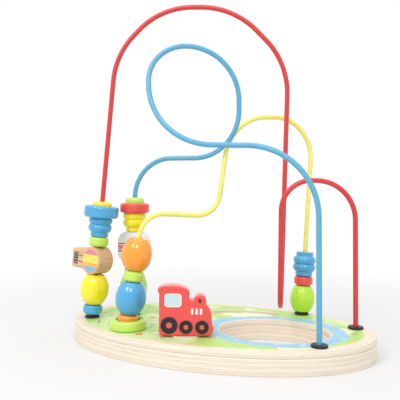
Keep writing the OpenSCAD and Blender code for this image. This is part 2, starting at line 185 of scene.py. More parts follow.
class Nodes:
    """A small helper that lays out one material's node tree."""

    def __init__(self, name: str) -> None:
        """Starts a material with a Principled shader and its output.

        Args:
            name: the material's name.
        """
        self.material = bpy.data.materials.new(name)
        self.material.use_nodes = True
        self.tree = self.material.node_tree
        self.tree.nodes.clear()
        self.output = self.tree.nodes.new("ShaderNodeOutputMaterial")
        self.shader = self.tree.nodes.new("ShaderNodeBsdfPrincipled")
        self.join(self.shader.outputs["BSDF"], self.output.inputs["Surface"])

    def add(self, kind: str, **values: object) -> bpy.types.Node:
        """Adds a node and sets its attributes or its input sockets.

        Args:
            kind: the node's type name.
            values: attribute names, or socket names with spaces as underscores.

        Returns:
            The new node.
        """
        node = self.tree.nodes.new(kind)
        for key, value in values.items():
            if hasattr(node, key):
                setattr(node, key, value)
            else:
                node.inputs[key.replace("_", " ")].default_value = value
        return node

    def join(self, a: Socket, b: Socket) -> None:
        """Links one socket to another."""
        self.tree.links.new(a, b)

    def feed(self, value: object, socket: Socket) -> None:
        """Links a socket to an input, or sets the input to a value.

        Args:
            value: a socket or a plain value.
            socket: the input.
        """
        if isinstance(value, bpy.types.NodeSocket):
            self.join(value, socket)
        else:
            socket.default_value = value

    def place(self) -> Socket:
        """Gives the place on the piece, in metres in the row frame."""
        return self.add("ShaderNodeTexCoord").outputs["Object"]

    def split(self, vector: Socket) -> bpy.types.NodeOutputs:
        """Splits a vector into its X, Y and Z.

        Args:
            vector: the vector's socket.

        Returns:
            The sockets of the three parts.
        """
        node = self.add("ShaderNodeSeparateXYZ")
        self.join(vector, node.inputs["Vector"])
        return node.outputs

    def noise(self, at: Socket, scale: float, detail: float = 2.0) -> Socket:
        """Gives a noise value from 0 to 1.

        Args:
            at: the place to read the noise at.
            scale: grains per metre.
            detail: octaves of the noise.

        Returns:
            The noise factor's socket.
        """
        node = self.add("ShaderNodeTexNoise", Scale=scale, Detail=detail)
        self.join(at, node.inputs["Vector"])
        return node.outputs["Fac"]

    def stretch(self, at: Socket, factors: Triple) -> Socket:
        """Scales a place unevenly, so that a noise becomes a grain.

        Args:
            at: the place.
            factors: scale along X, Y and Z.

        Returns:
            The scaled place's socket.
        """
        node = self.add("ShaderNodeMapping", Scale=factors)
        self.join(at, node.inputs["Vector"])
        return node.outputs["Vector"]

    def maths(self, operation: str, a: object, b: object = 0.0) -> Socket:
        """Works out one operation on sockets or plain numbers.

        Args:
            operation: the Math node's operation.
            a: the first value, a socket or a number.
            b: the second value, a socket or a number.

        Returns:
            The result's socket.
        """
        node = self.add("ShaderNodeMath", operation=operation)
        self.feed(a, node.inputs[0])
        self.feed(b, node.inputs[1])
        return node.outputs[0]

    def ramp(self, value: Socket, ends: Point2) -> Socket:
        """Maps a value between two ends to 0 and 1, with smooth ends.

        Args:
            value: the value's socket.
            ends: the values that give 0 and 1.

        Returns:
            The result's socket.
        """
        low, high = ends
        node = self.add(
            "ShaderNodeMapRange", interpolation_type="SMOOTHSTEP", From_Min=low, From_Max=high
        )
        self.join(value, node.inputs["Value"])
        return node.outputs["Result"]

    def blend(self, share: Socket, a: object, b: object) -> Socket:
        """Blends two colours, each a socket or a screen colour.

        Args:
            share: 0 gives the first and 1 the second.
            a: the first colour.
            b: the second colour.

        Returns:
            The blended colour's socket.
        """
        node = self.add("ShaderNodeMix", data_type="RGBA")
        self.join(share, node.inputs["Factor"])
        for socket, value in ((node.inputs[6], a), (node.inputs[7], b)):
            self.feed(linear(value) if isinstance(value, tuple) else value, socket)
        return node.outputs[2]

    def colour(self, value: Socket) -> None:
        """Feeds the shader's colour."""
        self.join(value, self.shader.inputs["Base Color"])

    def rough(self, value: Socket, ends: Point2) -> None:
        """Feeds the shader's roughness between two ends.

        Args:
            value: a value from 0 to 1.
            ends: the roughness at 0 and at 1.
        """
        node = self.add("ShaderNodeMapRange", To_Min=ends[0], To_Max=ends[1])
        self.join(value, node.inputs["Value"])
        self.join(node.outputs["Result"], self.shader.inputs["Roughness"])

    def bump(self, value: Socket, depth: float) -> None:
        """Raises the surface.

        Args:
            value: a value from 0 to 1.
            depth: the height at 1 in metres.
        """
        node = self.add("ShaderNodeBump", Strength=1.0, Distance=depth)
        self.join(value, node.inputs["Height"])
        self.join(node.outputs["Normal"], self.shader.inputs["Normal"])

    def constant(self, **values: float) -> None:
        """Sets sockets of the shader that are the same all over."""
        for key, value in values.items():
            self.shader.inputs[key.replace("_", " ")].default_value = value


@dataclass(frozen=True)
class Finish:
    """A surface finish; each kind lays its own nodes."""

    name: str

    def lay(self, n: Nodes) -> None:
        """Lays the finish's nodes in a material's tree."""
        raise NotImplementedError

    def material(self) -> bpy.types.Material:
        """Builds the finish's material.

        Returns:
            The new material.
        """
        n = Nodes(self.name)
        self.lay(n)
        return n.material


@dataclass(frozen=True)
class Lacquer(Finish):
    """Gloss paint on turned wood: a soft mottle, faint grain and a clear coat."""

    colour: Colour
    mottle: float = 0.04
    mottle_scale: float = 90.0
    mottle_ends: Point2 = (0.35, 0.75)
    grain: float = 0.12
    grain_scale: float = 420.0
    grain_stretch: Triple = (1.0, 1.0, 0.12)
    grain_ends: Point2 = (0.58, 0.8)
    relief: float = 0.02 * MM
    gloss: Point2 = (0.2, 0.3)
    coat: float = 0.7
    coat_roughness: float = 0.06
    refraction: float = 1.5

    def lay(self, n: Nodes) -> None:
        """Lays mottle, grain and coat.

        Args:
            n: the material's node helper.
        """
        at = n.place()
        mottle = n.noise(at, self.mottle_scale, detail=3.0)
        grain = n.noise(n.stretch(at, self.grain_stretch), self.grain_scale, detail=4.0)
        dark, pale = mixed(self.colour, BLACK, self.mottle), mixed(self.colour, WHITE, self.grain)
        base = n.blend(n.ramp(mottle, self.mottle_ends), self.colour, dark)
        n.colour(n.blend(n.ramp(grain, self.grain_ends), base, pale))
        n.rough(mottle, self.gloss)
        n.bump(grain, self.relief)
        n.constant(Coat_Weight=self.coat, Coat_Roughness=self.coat_roughness)
        n.constant(IOR=self.refraction)


@dataclass(frozen=True)
class WireCoat(Finish):
    """Dipped plastic coat on steel wire: even colour, faint ripples and specks."""

    colour: Colour
    ripple: float = 0.04
    ripple_scale: float = 160.0
    ripple_ends: Point2 = (0.3, 0.8)
    speck: float = 0.15
    speck_scale: float = 1400.0
    speck_ends: Point2 = (0.68, 0.8)
    relief: float = 0.01 * MM
    gloss: Point2 = (0.36, 0.46)
    coat: float = 0.3
    coat_roughness: float = 0.28
    refraction: float = 1.5

    def lay(self, n: Nodes) -> None:
        """Lays ripples, specks and coat.

        Args:
            n: the material's node helper.
        """
        at = n.place()
        ripple = n.noise(at, self.ripple_scale)
        speck = n.noise(at, self.speck_scale, detail=1.0)
        dark, pale = mixed(self.colour, BLACK, self.ripple), mixed(self.colour, WHITE, self.speck)
        base = n.blend(n.ramp(ripple, self.ripple_ends), self.colour, dark)
        n.colour(n.blend(n.ramp(speck, self.speck_ends), base, pale))
        n.rough(ripple, self.gloss)
        n.bump(ripple, self.relief)
        n.constant(Coat_Weight=self.coat, Coat_Roughness=self.coat_roughness)
        n.constant(IOR=self.refraction)


@dataclass(frozen=True)
class Plywood(Finish):
    """Clear-lacquered birch plywood: thin plies, broken glue lines and a fine grain."""

    pale: Colour = (0.965, 0.935, 0.87)
    dark: Colour = (0.89, 0.81, 0.69)
    seam: Colour = (0.55, 0.40, 0.25)
    ply: float = 1.9 * MM
    ply_tone: float = 0.2
    sway: float = 0.5 * MM
    sway_scale: float = 26.0
    sway_stretch: Triple = (1.0, 1.0, 0.2)
    fibre_tone: float = 0.6
    fibre_scale: float = 240.0
    fibre_stretch: Triple = (1.0, 1.0, 9.0)
    tone_ends: Point2 = (0.1, 0.9)
    glue: float = 0.12
    glue_depth: Point2 = (0.16, 0.65)
    glue_scale: float = 30.0
    glue_stretch: Triple = (1.0, 1.0, 14.0)
    glue_ends: Point2 = (0.45, 0.75)
    pore_scale: float = 500.0
    pore_stretch: Triple = (0.25, 1.0, 6.0)
    relief: float = 0.05 * MM
    gloss: Point2 = (0.42, 0.6)
    coat: float = 0.15
    coat_roughness: float = 0.25

    def grain(self, n: Nodes) -> Socket:
        """Lays the plies and the grain in a tree.

        Args:
            n: the material's node helper.

        Returns:
            The plywood colour's socket.
        """
        at = n.place()
        sway = n.noise(n.stretch(at, self.sway_stretch), self.sway_scale)
        level = n.maths("ADD", n.split(at)["Z"], n.maths("MULTIPLY", sway, self.sway))
        count = n.maths("DIVIDE", level, self.ply)
        line = n.maths("LESS_THAN", n.maths("FRACT", count), self.glue)
        step = n.maths("MODULO", n.maths("FLOOR", count), 2.0)
        fibre = n.noise(n.stretch(at, self.fibre_stretch), self.fibre_scale, detail=5.0)
        plies = n.maths("MULTIPLY", step, self.ply_tone)
        tone = n.maths("ADD", plies, n.maths("MULTIPLY", fibre, self.fibre_tone))
        base = n.blend(n.ramp(tone, self.tone_ends), self.pale, self.dark)
        patch = n.noise(n.stretch(at, self.glue_stretch), self.glue_scale, detail=3.0)
        broken = n.ramp(patch, self.glue_ends)
        least, more = self.glue_depth
        depth = n.maths("ADD", n.maths("MULTIPLY", broken, more), least)
        return n.blend(n.maths("MULTIPLY", line, depth), base, self.seam)

    def varnish(self, n: Nodes) -> None:
        """Sets the lacquer over the wood.

        Args:
            n: the material's node helper.
        """
        pores = n.noise(n.stretch(n.place(), self.pore_stretch), self.pore_scale, detail=4.0)
        n.rough(pores, self.gloss)
        n.bump(pores, self.relief)
        n.constant(Coat_Weight=self.coat, Coat_Roughness=self.coat_roughness)

    def lay(self, n: Nodes) -> None:
        """Lays wood and lacquer."""
        n.colour(self.grain(n))
        self.varnish(n)


@dataclass(frozen=True)
class PrintedBoard(Finish):
    """The top board: a printed meadow with a stream round the hole, bare wood at the rim."""

    wood: Plywood
    half: Point2
    hole: Point2
    hole_half: Point2
    meadow: Colour = (0.83, 0.92, 0.66)
    grass: Colour = (0.73, 0.87, 0.48)
    cream: Colour = (0.94, 0.94, 0.80)
    stream: Colour = (0.60, 0.79, 0.89)
    patch_scale: float = 17.0
    patch_stretch: Triple = (1.0, 1.3, 1.0)
    grass_ends: Point2 = (0.47, 0.5)
    cream_ends: Point2 = (0.62, 0.65)
    tuft: float = 0.35
    tuft_scale: float = 480.0
    tuft_ends: Point2 = (0.55, 0.75)
    tuft_shade: float = 0.12
    ripple_scale: float = 130.0
    ripple_ends: Point2 = (0.5, 0.7)
    ripple_light: float = 0.35
    bank: Point2 = (1.09, 1.43)
    bank_wave: float = 0.22
    wave_scale: float = 22.0
    margin: float = 0.925
    hole_margin: float = 1.03
    level: float = 0.8

    @staticmethod
    def oval(n: Nodes, centre: Point2, half: Point2) -> Socket:
        """Gives the distance from an oval's centre, 1 on its edge.

        Args:
            n: the material's node helper.
            centre: the oval's centre in metres.
            half: its half length and half width in metres.

        Returns:
            The distance's socket.
        """
        parts = n.split(n.place())
        squares = []
        for axis, middle, reach in zip("XY", centre, half):
            away = n.maths("DIVIDE", n.maths("SUBTRACT", parts[axis], middle), reach)
            squares.append(n.maths("MULTIPLY", away, away))
        return n.maths("SQRT", n.maths("ADD", *squares))

    def field_colour(self, n: Nodes) -> Socket:
        """Lays the meadow in patches of grass and cream, with small tufts.

        Args:
            n: the material's node helper.

        Returns:
            The meadow colour's socket.
        """
        at = n.place()
        patch = n.noise(n.stretch(at, self.patch_stretch), self.patch_scale, detail=1.5)
        tuft = n.ramp(n.noise(at, self.tuft_scale), self.tuft_ends)
        colour = n.blend(n.ramp(patch, self.grass_ends), self.meadow, self.grass)
        colour = n.blend(n.ramp(patch, self.cream_ends), colour, self.cream)
        dark = mixed(self.grass, BLACK, self.tuft_shade)
        return n.blend(n.maths("MULTIPLY", tuft, self.tuft), colour, dark)

    def lay(self, n: Nodes) -> None:
        """Lays the print over the wood.

        Args:
            n: the material's node helper.
        """
        at = n.place()
        wave = n.maths("MULTIPLY", n.noise(at, self.wave_scale, detail=1.5), self.bank_wave)
        ring = n.maths("ADD", self.oval(n, self.hole, self.hole_half), wave)
        inside = n.maths("GREATER_THAN", ring, self.bank[0])
        outside = n.maths("LESS_THAN", ring, self.bank[1])
        ripple = n.ramp(n.noise(at, self.ripple_scale), self.ripple_ends)
        water = n.blend(ripple, self.stream, mixed(self.stream, WHITE, self.ripple_light))
        picture = n.blend(n.maths("MULTIPLY", inside, outside), self.field_colour(n), water)
        normal = n.split(n.add("ShaderNodeNewGeometry").outputs["Normal"])
        flat = n.maths("GREATER_THAN", normal["Z"], self.level)
        rim = n.maths("LESS_THAN", self.oval(n, (0.0, 0.0), self.half), self.margin)
        clear = n.maths("GREATER_THAN", self.oval(n, self.hole, self.hole_half), self.hole_margin)
        mask = n.maths("MULTIPLY", n.maths("MULTIPLY", flat, rim), clear)
        n.colour(n.blend(mask, self.wood.grain(n), picture))
        self.wood.varnish(n)


@dataclass(frozen=True)
class PlainWood(Finish):
    """Bare beech under a clear lacquer, with a long grain and small pores."""

    pale: Colour = (0.90, 0.74, 0.57)
    dark: Colour = (0.82, 0.64, 0.48)
    along: Triple = (0.2, 0.2, 1.0)
    ring_scale: float = 260.0
    ring_ends: Point2 = (0.3, 0.75)
    pore: float = 0.5
    pore_scale: float = 1500.0
    pore_ends: Point2 = (0.62, 0.75)
    pore_shade: float = 0.3
    relief: float = 0.04 * MM
    gloss: Point2 = (0.42, 0.58)
    coat: float = 0.2
    coat_roughness: float = 0.2

    def lay(self, n: Nodes) -> None:
        """Lays rings, pores and lacquer.

        Args:
            n: the material's node helper.
        """
        at = n.stretch(n.place(), self.along)
        rings = n.noise(at, self.ring_scale, detail=5.0)
        pores = n.noise(at, self.pore_scale)
        base = n.blend(n.ramp(rings, self.ring_ends), self.pale, self.dark)
        depth = n.maths("MULTIPLY", n.ramp(pores, self.pore_ends), self.pore)
        n.colour(n.blend(depth, base, mixed(self.dark, BLACK, self.pore_shade)))
        n.rough(rings, self.gloss)
        n.bump(pores, self.relief)
        n.constant(Coat_Weight=self.coat, Coat_Roughness=self.coat_roughness)


@dataclass(frozen=True)
class SatinPlastic(Finish):
    """Moulded plastic with a fine even texture."""

    colour: Colour
    cloud: float = 0.06
    cloud_scale: float = 120.0
    cloud_ends: Point2 = (0.3, 0.8)
    texture_scale: float = 1800.0
    relief: float = 0.03 * MM
    gloss: Point2 = (0.36, 0.5)

    def lay(self, n: Nodes) -> None:
        """Lays the texture.

        Args:
            n: the material's node helper.
        """
        at = n.place()
        texture = n.noise(at, self.texture_scale)
        cloud = n.ramp(n.noise(at, self.cloud_scale), self.cloud_ends)
        n.colour(n.blend(cloud, self.colour, mixed(self.colour, WHITE, self.cloud)))
        n.rough(texture, self.gloss)
        n.bump(texture, self.relief)


@dataclass(frozen=True)
class PrintInk(Finish):
    """Screen-printed ink with a slightly uneven cover."""

    colour: Colour
    thin: float = 0.16
    cover_scale: float = 900.0
    cover_ends: Point2 = (0.5, 0.85)
    gloss: Point2 = (0.3, 0.42)
    coat: float = 0.12
    coat_roughness: float = 0.2

    def lay(self, n: Nodes) -> None:
        """Lays the ink.

        Args:
            n: the material's node helper.
        """
        cover = n.noise(n.place(), self.cover_scale, detail=3.0)
        thin = mixed(self.colour, WHITE, self.thin)
        n.colour(n.blend(n.ramp(cover, self.cover_ends), self.colour, thin))
        n.rough(cover, self.gloss)
        n.constant(Coat_Weight=self.coat, Coat_Roughness=self.coat_roughness)


class FinishShelf:
    """Keeps one material for each finish, so that like pieces share it."""

    def __init__(self) -> None:
        """Starts with no materials."""
        self.made: dict[str, bpy.types.Material] = {}

    def get(self, finish: Finish) -> bpy.types.Material:
        """Gives a finish's material, and builds it the first time.

        Args:
            finish: the finish.

        Returns:
            The material.
        """
        if finish.name not in self.made:
            self.made[finish.name] = finish.material()
        return self.made[finish.name]

    def paint(self, paint: Paint) -> bpy.types.Material:
        """Gives the lacquer of a paint colour."""
        return self.get(Lacquer(f"lacquer_{paint.name.lower()}", paint.value))

    def coat(self, coat: Coat) -> bpy.types.Material:
        """Gives the coat of a wire colour."""
        return self.get(WireCoat(f"wire_coat_{coat.name.lower()}", coat.value))

    def ink(self, ink: Ink) -> bpy.types.Material:
        """Gives the ink of a print colour."""
        return self.get(PrintInk(f"ink_{ink.name.lower()}", ink.value))


class Workshop:
    """Makes meshes from profiles and outlines, and fits them to the part."""

    @staticmethod
    def link(name: str, data: bpy.types.ID) -> bpy.types.Object:
        """Puts a new object in the scene.

        Args:
            name: the object's name.
            data: its mesh, curve, lamp or camera.

        Returns:
            The new object.
        """
        thing = bpy.data.objects.new(name, data)
        bpy.context.scene.collection.objects.link(thing)
        return thing

    @staticmethod
    def final_mesh(thing: bpy.types.Object) -> bpy.types.Mesh:
        """Works an object's modifiers or curve settings into a new mesh.

        Args:
            thing: the object.

        Returns:
            The new mesh.
        """
        bpy.context.view_layer.update()
        graph = bpy.context.evaluated_depsgraph_get()
        return bpy.data.meshes.new_from_object(thing.evaluated_get(graph))

    @staticmethod
    def smooth(piece: bpy.types.Object, angle: float) -> None:
        """Shades a piece smooth, apart from its sharper edges.

        Args:
            piece: the piece.
            angle: edges flatter than this angle in degrees are shaded smooth.
        """
        mesh = piece.data
        mesh.polygons.foreach_set("use_smooth", [True] * len(mesh.polygons))
        mesh.set_sharp_from_angle(angle=math.radians(angle))

    @staticmethod
    def piece(
        name: str, points: Sequence[Vector], faces: Sequence[Sequence[int]], smooth: float = 35.0
    ) -> bpy.types.Object:
        """Makes an object from points and faces.

        Args:
            name: the new object's name.
            points: corners in metres.
            faces: corner numbers of each face.
            smooth: edges flatter than this angle in degrees are shaded smooth.

        Returns:
            The new object.
        """
        mesh = bpy.data.meshes.new(name)
        mesh.from_pydata([tuple(p) for p in points], [], [list(f) for f in faces])
        mesh.validate()
        work = bmesh.new()
        work.from_mesh(mesh)
        bmesh.ops.remove_doubles(work, verts=work.verts, dist=WELD)
        bmesh.ops.recalc_face_normals(work, faces=work.faces)
        work.to_mesh(mesh)
        work.free()
        piece = Workshop.link(name, mesh)
        Workshop.smooth(piece, smooth)
        return piece

    @staticmethod
    def lathe(name: str, profile: Sequence[Point2], steps: int = 72) -> bpy.types.Object:
        """Turns a closed profile of radius and height about Z.

        Args:
            name: the new object's name.
            profile: radius and height pairs in metres, in order round the section.
            steps: steps of the full turn.

        Returns:
            The turned object.
        """
        count = len(profile)
        points = [
            Vector((r * x, r * y, z)) for x, y in disc((0.0, 0.0), 1.0, steps) for r, z in profile
        ]
        faces = []
        for s in range(steps):
            here, there = s * count, (s + 1) % steps * count
            for i in range(count):
                j = (i + 1) % count
                faces.append((here + i, there + i, there + j, here + j))
        return Workshop.piece(name, points, faces)

    @staticmethod
    def bore(
        piece: bpy.types.Object, low: float, high: float, diameter: float, steps: int = 48
    ) -> None:
        """Drills a round hole along Z through a piece.

        Args:
            piece: the piece to drill.
            low: where the drill starts.
            high: where the drill stops.
            diameter: the drill's diameter.
            steps: steps round the drill.
        """
        r = diameter / 2
        drill = Workshop.lathe("drill", [(0.0, low), (r, low), (r, high), (0.0, high)], steps)
        cut = piece.modifiers.new("bore", "BOOLEAN")
        cut.operation = "DIFFERENCE"
        cut.solver = "EXACT"
        cut.object = drill
        mesh = Workshop.final_mesh(piece)
        piece.modifiers.clear()
        piece.data = mesh
        bpy.data.objects.remove(drill)
        Workshop.smooth(piece, BOARD_SMOOTH)

    @staticmethod
    def rounded(corners: Sequence[Triple], steps: int = 8, most: float = 0.49) -> list[Point2]:
        """Rounds the corners of a closed outline.

        Args:
            corners: x, y and corner radius, in order round the outline.
            steps: steps in each rounded corner.
            most: share of a side that a corner may take up.

        Returns:
            The outline's points.
        """
        out: list[Point2] = []
        for i, (x, y, r) in enumerate(corners):
            if r <= 0:
                out.append((x, y))
                continue
            here = Vector((x, y))
            before = Vector(corners[i - 1][:2]) - here
            after = Vector(corners[(i + 1) % len(corners)][:2]) - here
            a, b = before.normalized(), after.normalized()
            half = a.angle(b) / 2
            cut = min(r / math.tan(half), most * min(before.length, after.length))
            radius = cut * math.tan(half)
            centre = here + (a + b).normalized() * (radius / math.sin(half))
            start, end = here + a * cut - centre, here + b * cut - centre
            turn = start.angle_signed(end)
            for s in range(steps + 1):
                p = centre + Matrix.Rotation(-turn * s / steps, 2) @ start
                out.append((p.x, p.y))
        return out

    @staticmethod
    def slab(
        name: str, outlines: Sequence[Sequence[Point2]], thick: float, edge: float
    ) -> bpy.types.Object:
        """Cuts a flat board with soft edges from an outline and its holes.

        Args:
            name: the new object's name.
            outlines: the outer outline first, then any holes.
            thick: thickness in metres, half above and half below Z 0.
            edge: rounding of the edges in metres.

        Returns:
            The board as a mesh object.
        """
        curve = bpy.data.curves.new(name, "CURVE")
        curve.dimensions = "2D"
        curve.fill_mode = "BOTH"
        curve.extrude = thick / 2 - edge
        curve.bevel_depth = edge
        curve.bevel_resolution = 3
        curve.offset = -edge
        for outline in outlines:
            spline = curve.splines.new("POLY")
            spline.points.add(len(outline) - 1)
            for point, (x, y) in zip(spline.points, outline):
                point.co = (x, y, 0.0, 1.0)
            spline.use_cyclic_u = True
        draft = Workshop.link(name + "_draft", curve)
        mesh = Workshop.final_mesh(draft)
        bpy.data.objects.remove(draft)
        bpy.data.curves.remove(curve)
        mesh.name = name
        piece = Workshop.link(name, mesh)
        Workshop.smooth(piece, BOARD_SMOOTH)
        return piece

    @staticmethod
    def move(piece: bpy.types.Object, matrix: Matrix) -> None:
        """Moves a piece's points, so that its object stays at the origin."""
        piece.data.transform(matrix)
        piece.data.update()

    @staticmethod
    def dress(piece: bpy.types.Object, material: bpy.types.Material) -> None:
        """Gives a piece one material."""
        piece.data.materials.clear()
        piece.data.materials.append(material)

    @staticmethod
    def fit(
        piece: bpy.types.Object,
        material: bpy.types.Material,
        body: str,
        slot: str,
        node: str | None = None,
    ) -> None:
        """Dresses a piece and lets it ride on a body.

        Args:
            piece: the piece.
            material: its material.
            body: the body that carries it.
            slot: the record's material slot; not used.
            node: the CAD node that it stands for, if any.
        """
        Workshop.dress(piece, material)
        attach(piece, body)
        if node:
            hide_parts(node)
        log.info("fitted %s to %s", piece.name, body)


def along(axis: Vector, at: Vector) -> Matrix:
    """Gives the frame whose Z lies along an axis and whose Y points to the back.

    Args:
        axis: direction of the frame's Z.
        at: the frame's origin.

    Returns:
        The frame as a matrix.
    """
    up = axis.normalized()
    aside = Vector((0.0, 1.0, 0.0)).cross(up).normalized()
    back = up.cross(aside)
    return Matrix.Translation(at) @ Matrix((aside, back, up)).transposed().to_4x4()


def turned(angle: float, axis: str) -> Matrix:
    """Gives a turn by an angle in degrees about X, Y or Z."""
    return Matrix.Rotation(math.radians(angle), 4, axis)


def sides_of(frame: Matrix, thick: float) -> list[Lay]:
    """Lays a drawing in millimetres on both sides of a flat piece.

    Args:
        frame: the piece's frame, with Z out of its front side.
        thick: its thickness in millimetres.

    Returns:
        The front side's lay and the back side's.
    """

    def lay(p: Point2, height: float, out: int) -> Vector:
        """Places a drawing point at a height over one side."""
        return frame @ Vector((p[0] * MM, p[1] * MM, out * (thick / 2 * MM + height)))

    return [partial(lay, out=1), partial(lay, out=-1)]


def node_middle(node: str) -> Vector:
    """Gives the middle of a CAD node's box."""
    low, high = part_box(node)
    return (low + high) / 2


@dataclass
class Joints:
    """Looks up the frame's joints by the body that moves."""

    frame: dict

    def axis(self, body: str) -> Vector:
        """Gives the direction of a body's joint."""
        return Vector(next(j["axis"] for j in self.frame["joints"] if j["child"] == body))

    def pivot(self, body: str) -> Vector:
        """Gives the pivot of a body's hinge."""
        return Vector(next(j["pos_m"] for j in self.frame["joints"] if j["child"] == body))


class BeadShape(Enum):
    """Kinds of turned pieces."""

    SMALL = "small"
    EGG = "egg"
    LITTLE_EGG = "little_egg"
    RIBBED = "ribbed"
    WIDE_RING = "wide_ring"
    LOW_RING = "low_ring"
    RED_RING = "red_ring"


@dataclass
class BeadSet:
    """All turned pieces: their sizes in metres, and which node wears which shape and paint."""

    shelf: FinishShelf
    joints: Joints
    bore: float = 6.2 * MM
    mouth: float = 0.5 * MM
    soft: float = 0.35 * MM
    soft_share: float = 0.3
    small: Triple = (17 * MM, 8.8 * MM, 3 * MM)
    egg: Point2 = (25 * MM, 26.2 * MM)
    little_egg: Point2 = (22.5 * MM, 23.5 * MM)
    egg_flat: float = 14 * MM
    egg_share: float = 0.97
    egg_steps: int = 14
    ribbed: Point2 = (20.6 * MM, 21.5 * MM)
    collar: float = 15.5 * MM
    rib: float = 4.4 * MM
    rib_overlap: float = 1.2 * MM
    rib_share: float = 0.985
    rib_steps: int = 48
    ring_bore: float = 19.4 * MM
    ring_edge: float = 2.4 * MM
    edge_steps: int = 8
    rings: dict[BeadShape, Point2] = field(
        default_factory=lambda: {
            BeadShape.WIDE_RING: (30 * MM, 10.4 * MM),
            BeadShape.LOW_RING: (30 * MM, 8.2 * MM),
            BeadShape.RED_RING: (26.6 * MM, 9 * MM),
        }
    )
    pieces: tuple[tuple[str, BeadShape, Paint], ...] = (
        ("red_leg_blue_bead", BeadShape.SMALL, Paint.BLUE),
        ("red_leg_yellow_egg", BeadShape.EGG, Paint.YELLOW),
        ("red_leg_lime_bead", BeadShape.SMALL, Paint.LIME),
        ("red_leg_ribbed_bead", BeadShape.RIBBED, Paint.BLUE),
        ("red_leg_blue_ring", BeadShape.WIDE_RING, Paint.BLUE),
        ("red_leg_yellow_bead", BeadShape.SMALL, Paint.YELLOW),
        ("blue_leg_low_bead", BeadShape.SMALL, Paint.YELLOW),
        ("blue_leg_lime_egg", BeadShape.EGG, Paint.LIME),
        ("blue_leg_mid_bead", BeadShape.SMALL, Paint.RED),
        ("blue_leg_ribbed_bead", BeadShape.RIBBED, Paint.YELLOW),
        ("blue_leg_red_ring", BeadShape.RED_RING, Paint.RED),
        ("blue_leg_lime_bead", BeadShape.SMALL, Paint.LIME),
        ("yellow_leg_lime_ring", BeadShape.LOW_RING, Paint.LIME),
        ("yellow_leg_orange_bead", BeadShape.SMALL, Paint.ORANGE),
        ("yellow_leg_blue_egg", BeadShape.EGG, Paint.BLUE),
        ("yellow_leg_lime_bead", BeadShape.SMALL, Paint.LIME),
        ("yellow_leg_orange_egg", BeadShape.EGG, Paint.ORANGE),
        ("back_leg_green_egg", BeadShape.LITTLE_EGG, Paint.GREEN),
        ("back_leg_red_bead", BeadShape.SMALL, Paint.RED),
        ("back_leg_ribbed_bead", BeadShape.RIBBED, Paint.BLUE),
    )

    @staticmethod
    def mirrored(half: Sequence[Point2]) -> list[Point2]:
        """Gives the lower half of a section from its upper half."""
        return [(r, -z) for r, z in reversed(half)]

    def with_bore(self, outer: list[Point2], hole: float, tall: float) -> list[Point2]:
        """Closes a section with a bore that has softened mouths.

        Args:
            outer: the outside of the section from low to high.
            hole: radius of the bore.
            tall: height of the piece.

        Returns:
            The closed section.
        """
        half, mouth = tall / 2, self.mouth
        bend = mouth * self.soft_share
        bore = [(hole + mouth, half), (hole + bend, half - bend), (hole, half - mouth)]
        return outer + bore + self.mirrored(bore)

    def barrel(self, wide: float, tall: float) -> list[Point2]:
        """Gives the section of an egg bead.

        Args:
            wide: largest diameter.
            tall: height.

        Returns:
            The closed section, centred in height.
        """
        flat, half, soft = self.egg_flat / 2, tall / 2, self.soft
        reach = half / math.sqrt(1 - (self.egg_flat / wide) ** 2)
        last = self.egg_share * math.asin(half / reach)
        turns = (last * s / self.egg_steps for s in range(-self.egg_steps, self.egg_steps + 1))
        side = [(wide / 2 * math.cos(a), reach * math.sin(a)) for a in turns]
        top = [(flat - soft, half - soft * self.soft_share), (flat - 2 * soft, half)]
        return self.with_bore(self.mirrored(top) + side + top, self.bore / 2, tall)

    def soft_block(self, hole: float, wide: float, tall: float, edge: float) -> list[Point2]:
        """Gives the section of a bead or ring with rounded outer edges.

        Args:
            hole: radius of the bore.
            wide: diameter.
            tall: height.
            edge: radius of the outer edges.

        Returns:
            The closed section, centred in height.
        """
        corner = arc((wide / 2 - edge, tall / 2 - edge), edge, 0.0, QUARTER, self.edge_steps)
        return self.with_bore(self.mirrored(corner) + corner, hole, tall)

    def ribs(self) -> list[Point2]:
        """Gives the section of a ribbed bead: two round ribs between collars.

        Returns:
            The closed section, centred in height.
        """
        wide, tall = self.ribbed
        half, collar = tall / 2, self.collar / 2
        middle = self.rib - self.rib_overlap
        centre = wide / 2 - self.rib
        outer = []
        for s in range(-self.rib_steps, self.rib_steps + 1):
            z = half * self.rib_share * s / self.rib_steps
            depths = (max(0.0, self.rib**2 - (z - m) ** 2) for m in (-middle, middle))
            outer.append((max(collar, *(centre + math.sqrt(d) for d in depths)), z))
        top = [(collar - self.soft, half)]
        return self.with_bore(self.mirrored(top) + outer + top, self.bore / 2, tall)

    def section(self, shape: BeadShape) -> list[Point2]:
        """Gives the closed section of a kind of piece.

        Args:
            shape: the kind of piece.

        Returns:
            Radius and height pairs, centred in height.
        """
        if shape is BeadShape.SMALL:
            return self.soft_block(self.bore / 2, *self.small)
        if shape is BeadShape.EGG:
            return self.barrel(*self.egg)
        if shape is BeadShape.LITTLE_EGG:
            return self.barrel(*self.little_egg)
        if shape is BeadShape.RIBBED:
            return self.ribs()
        return self.soft_block(self.ring_bore / 2, *self.rings[shape], self.ring_edge)

    def build(self) -> None:
        """Turns, paints and places every piece."""
        for node, shape, paint in self.pieces:
            piece = Workshop.lathe(f"{node}_turned", self.section(shape))
            Workshop.move(piece, along(self.joints.axis(node), node_middle(node)))
            slot = f"{paint.name.lower()}_paint"
            Workshop.fit(piece, self.shelf.paint(paint), node, slot, node)


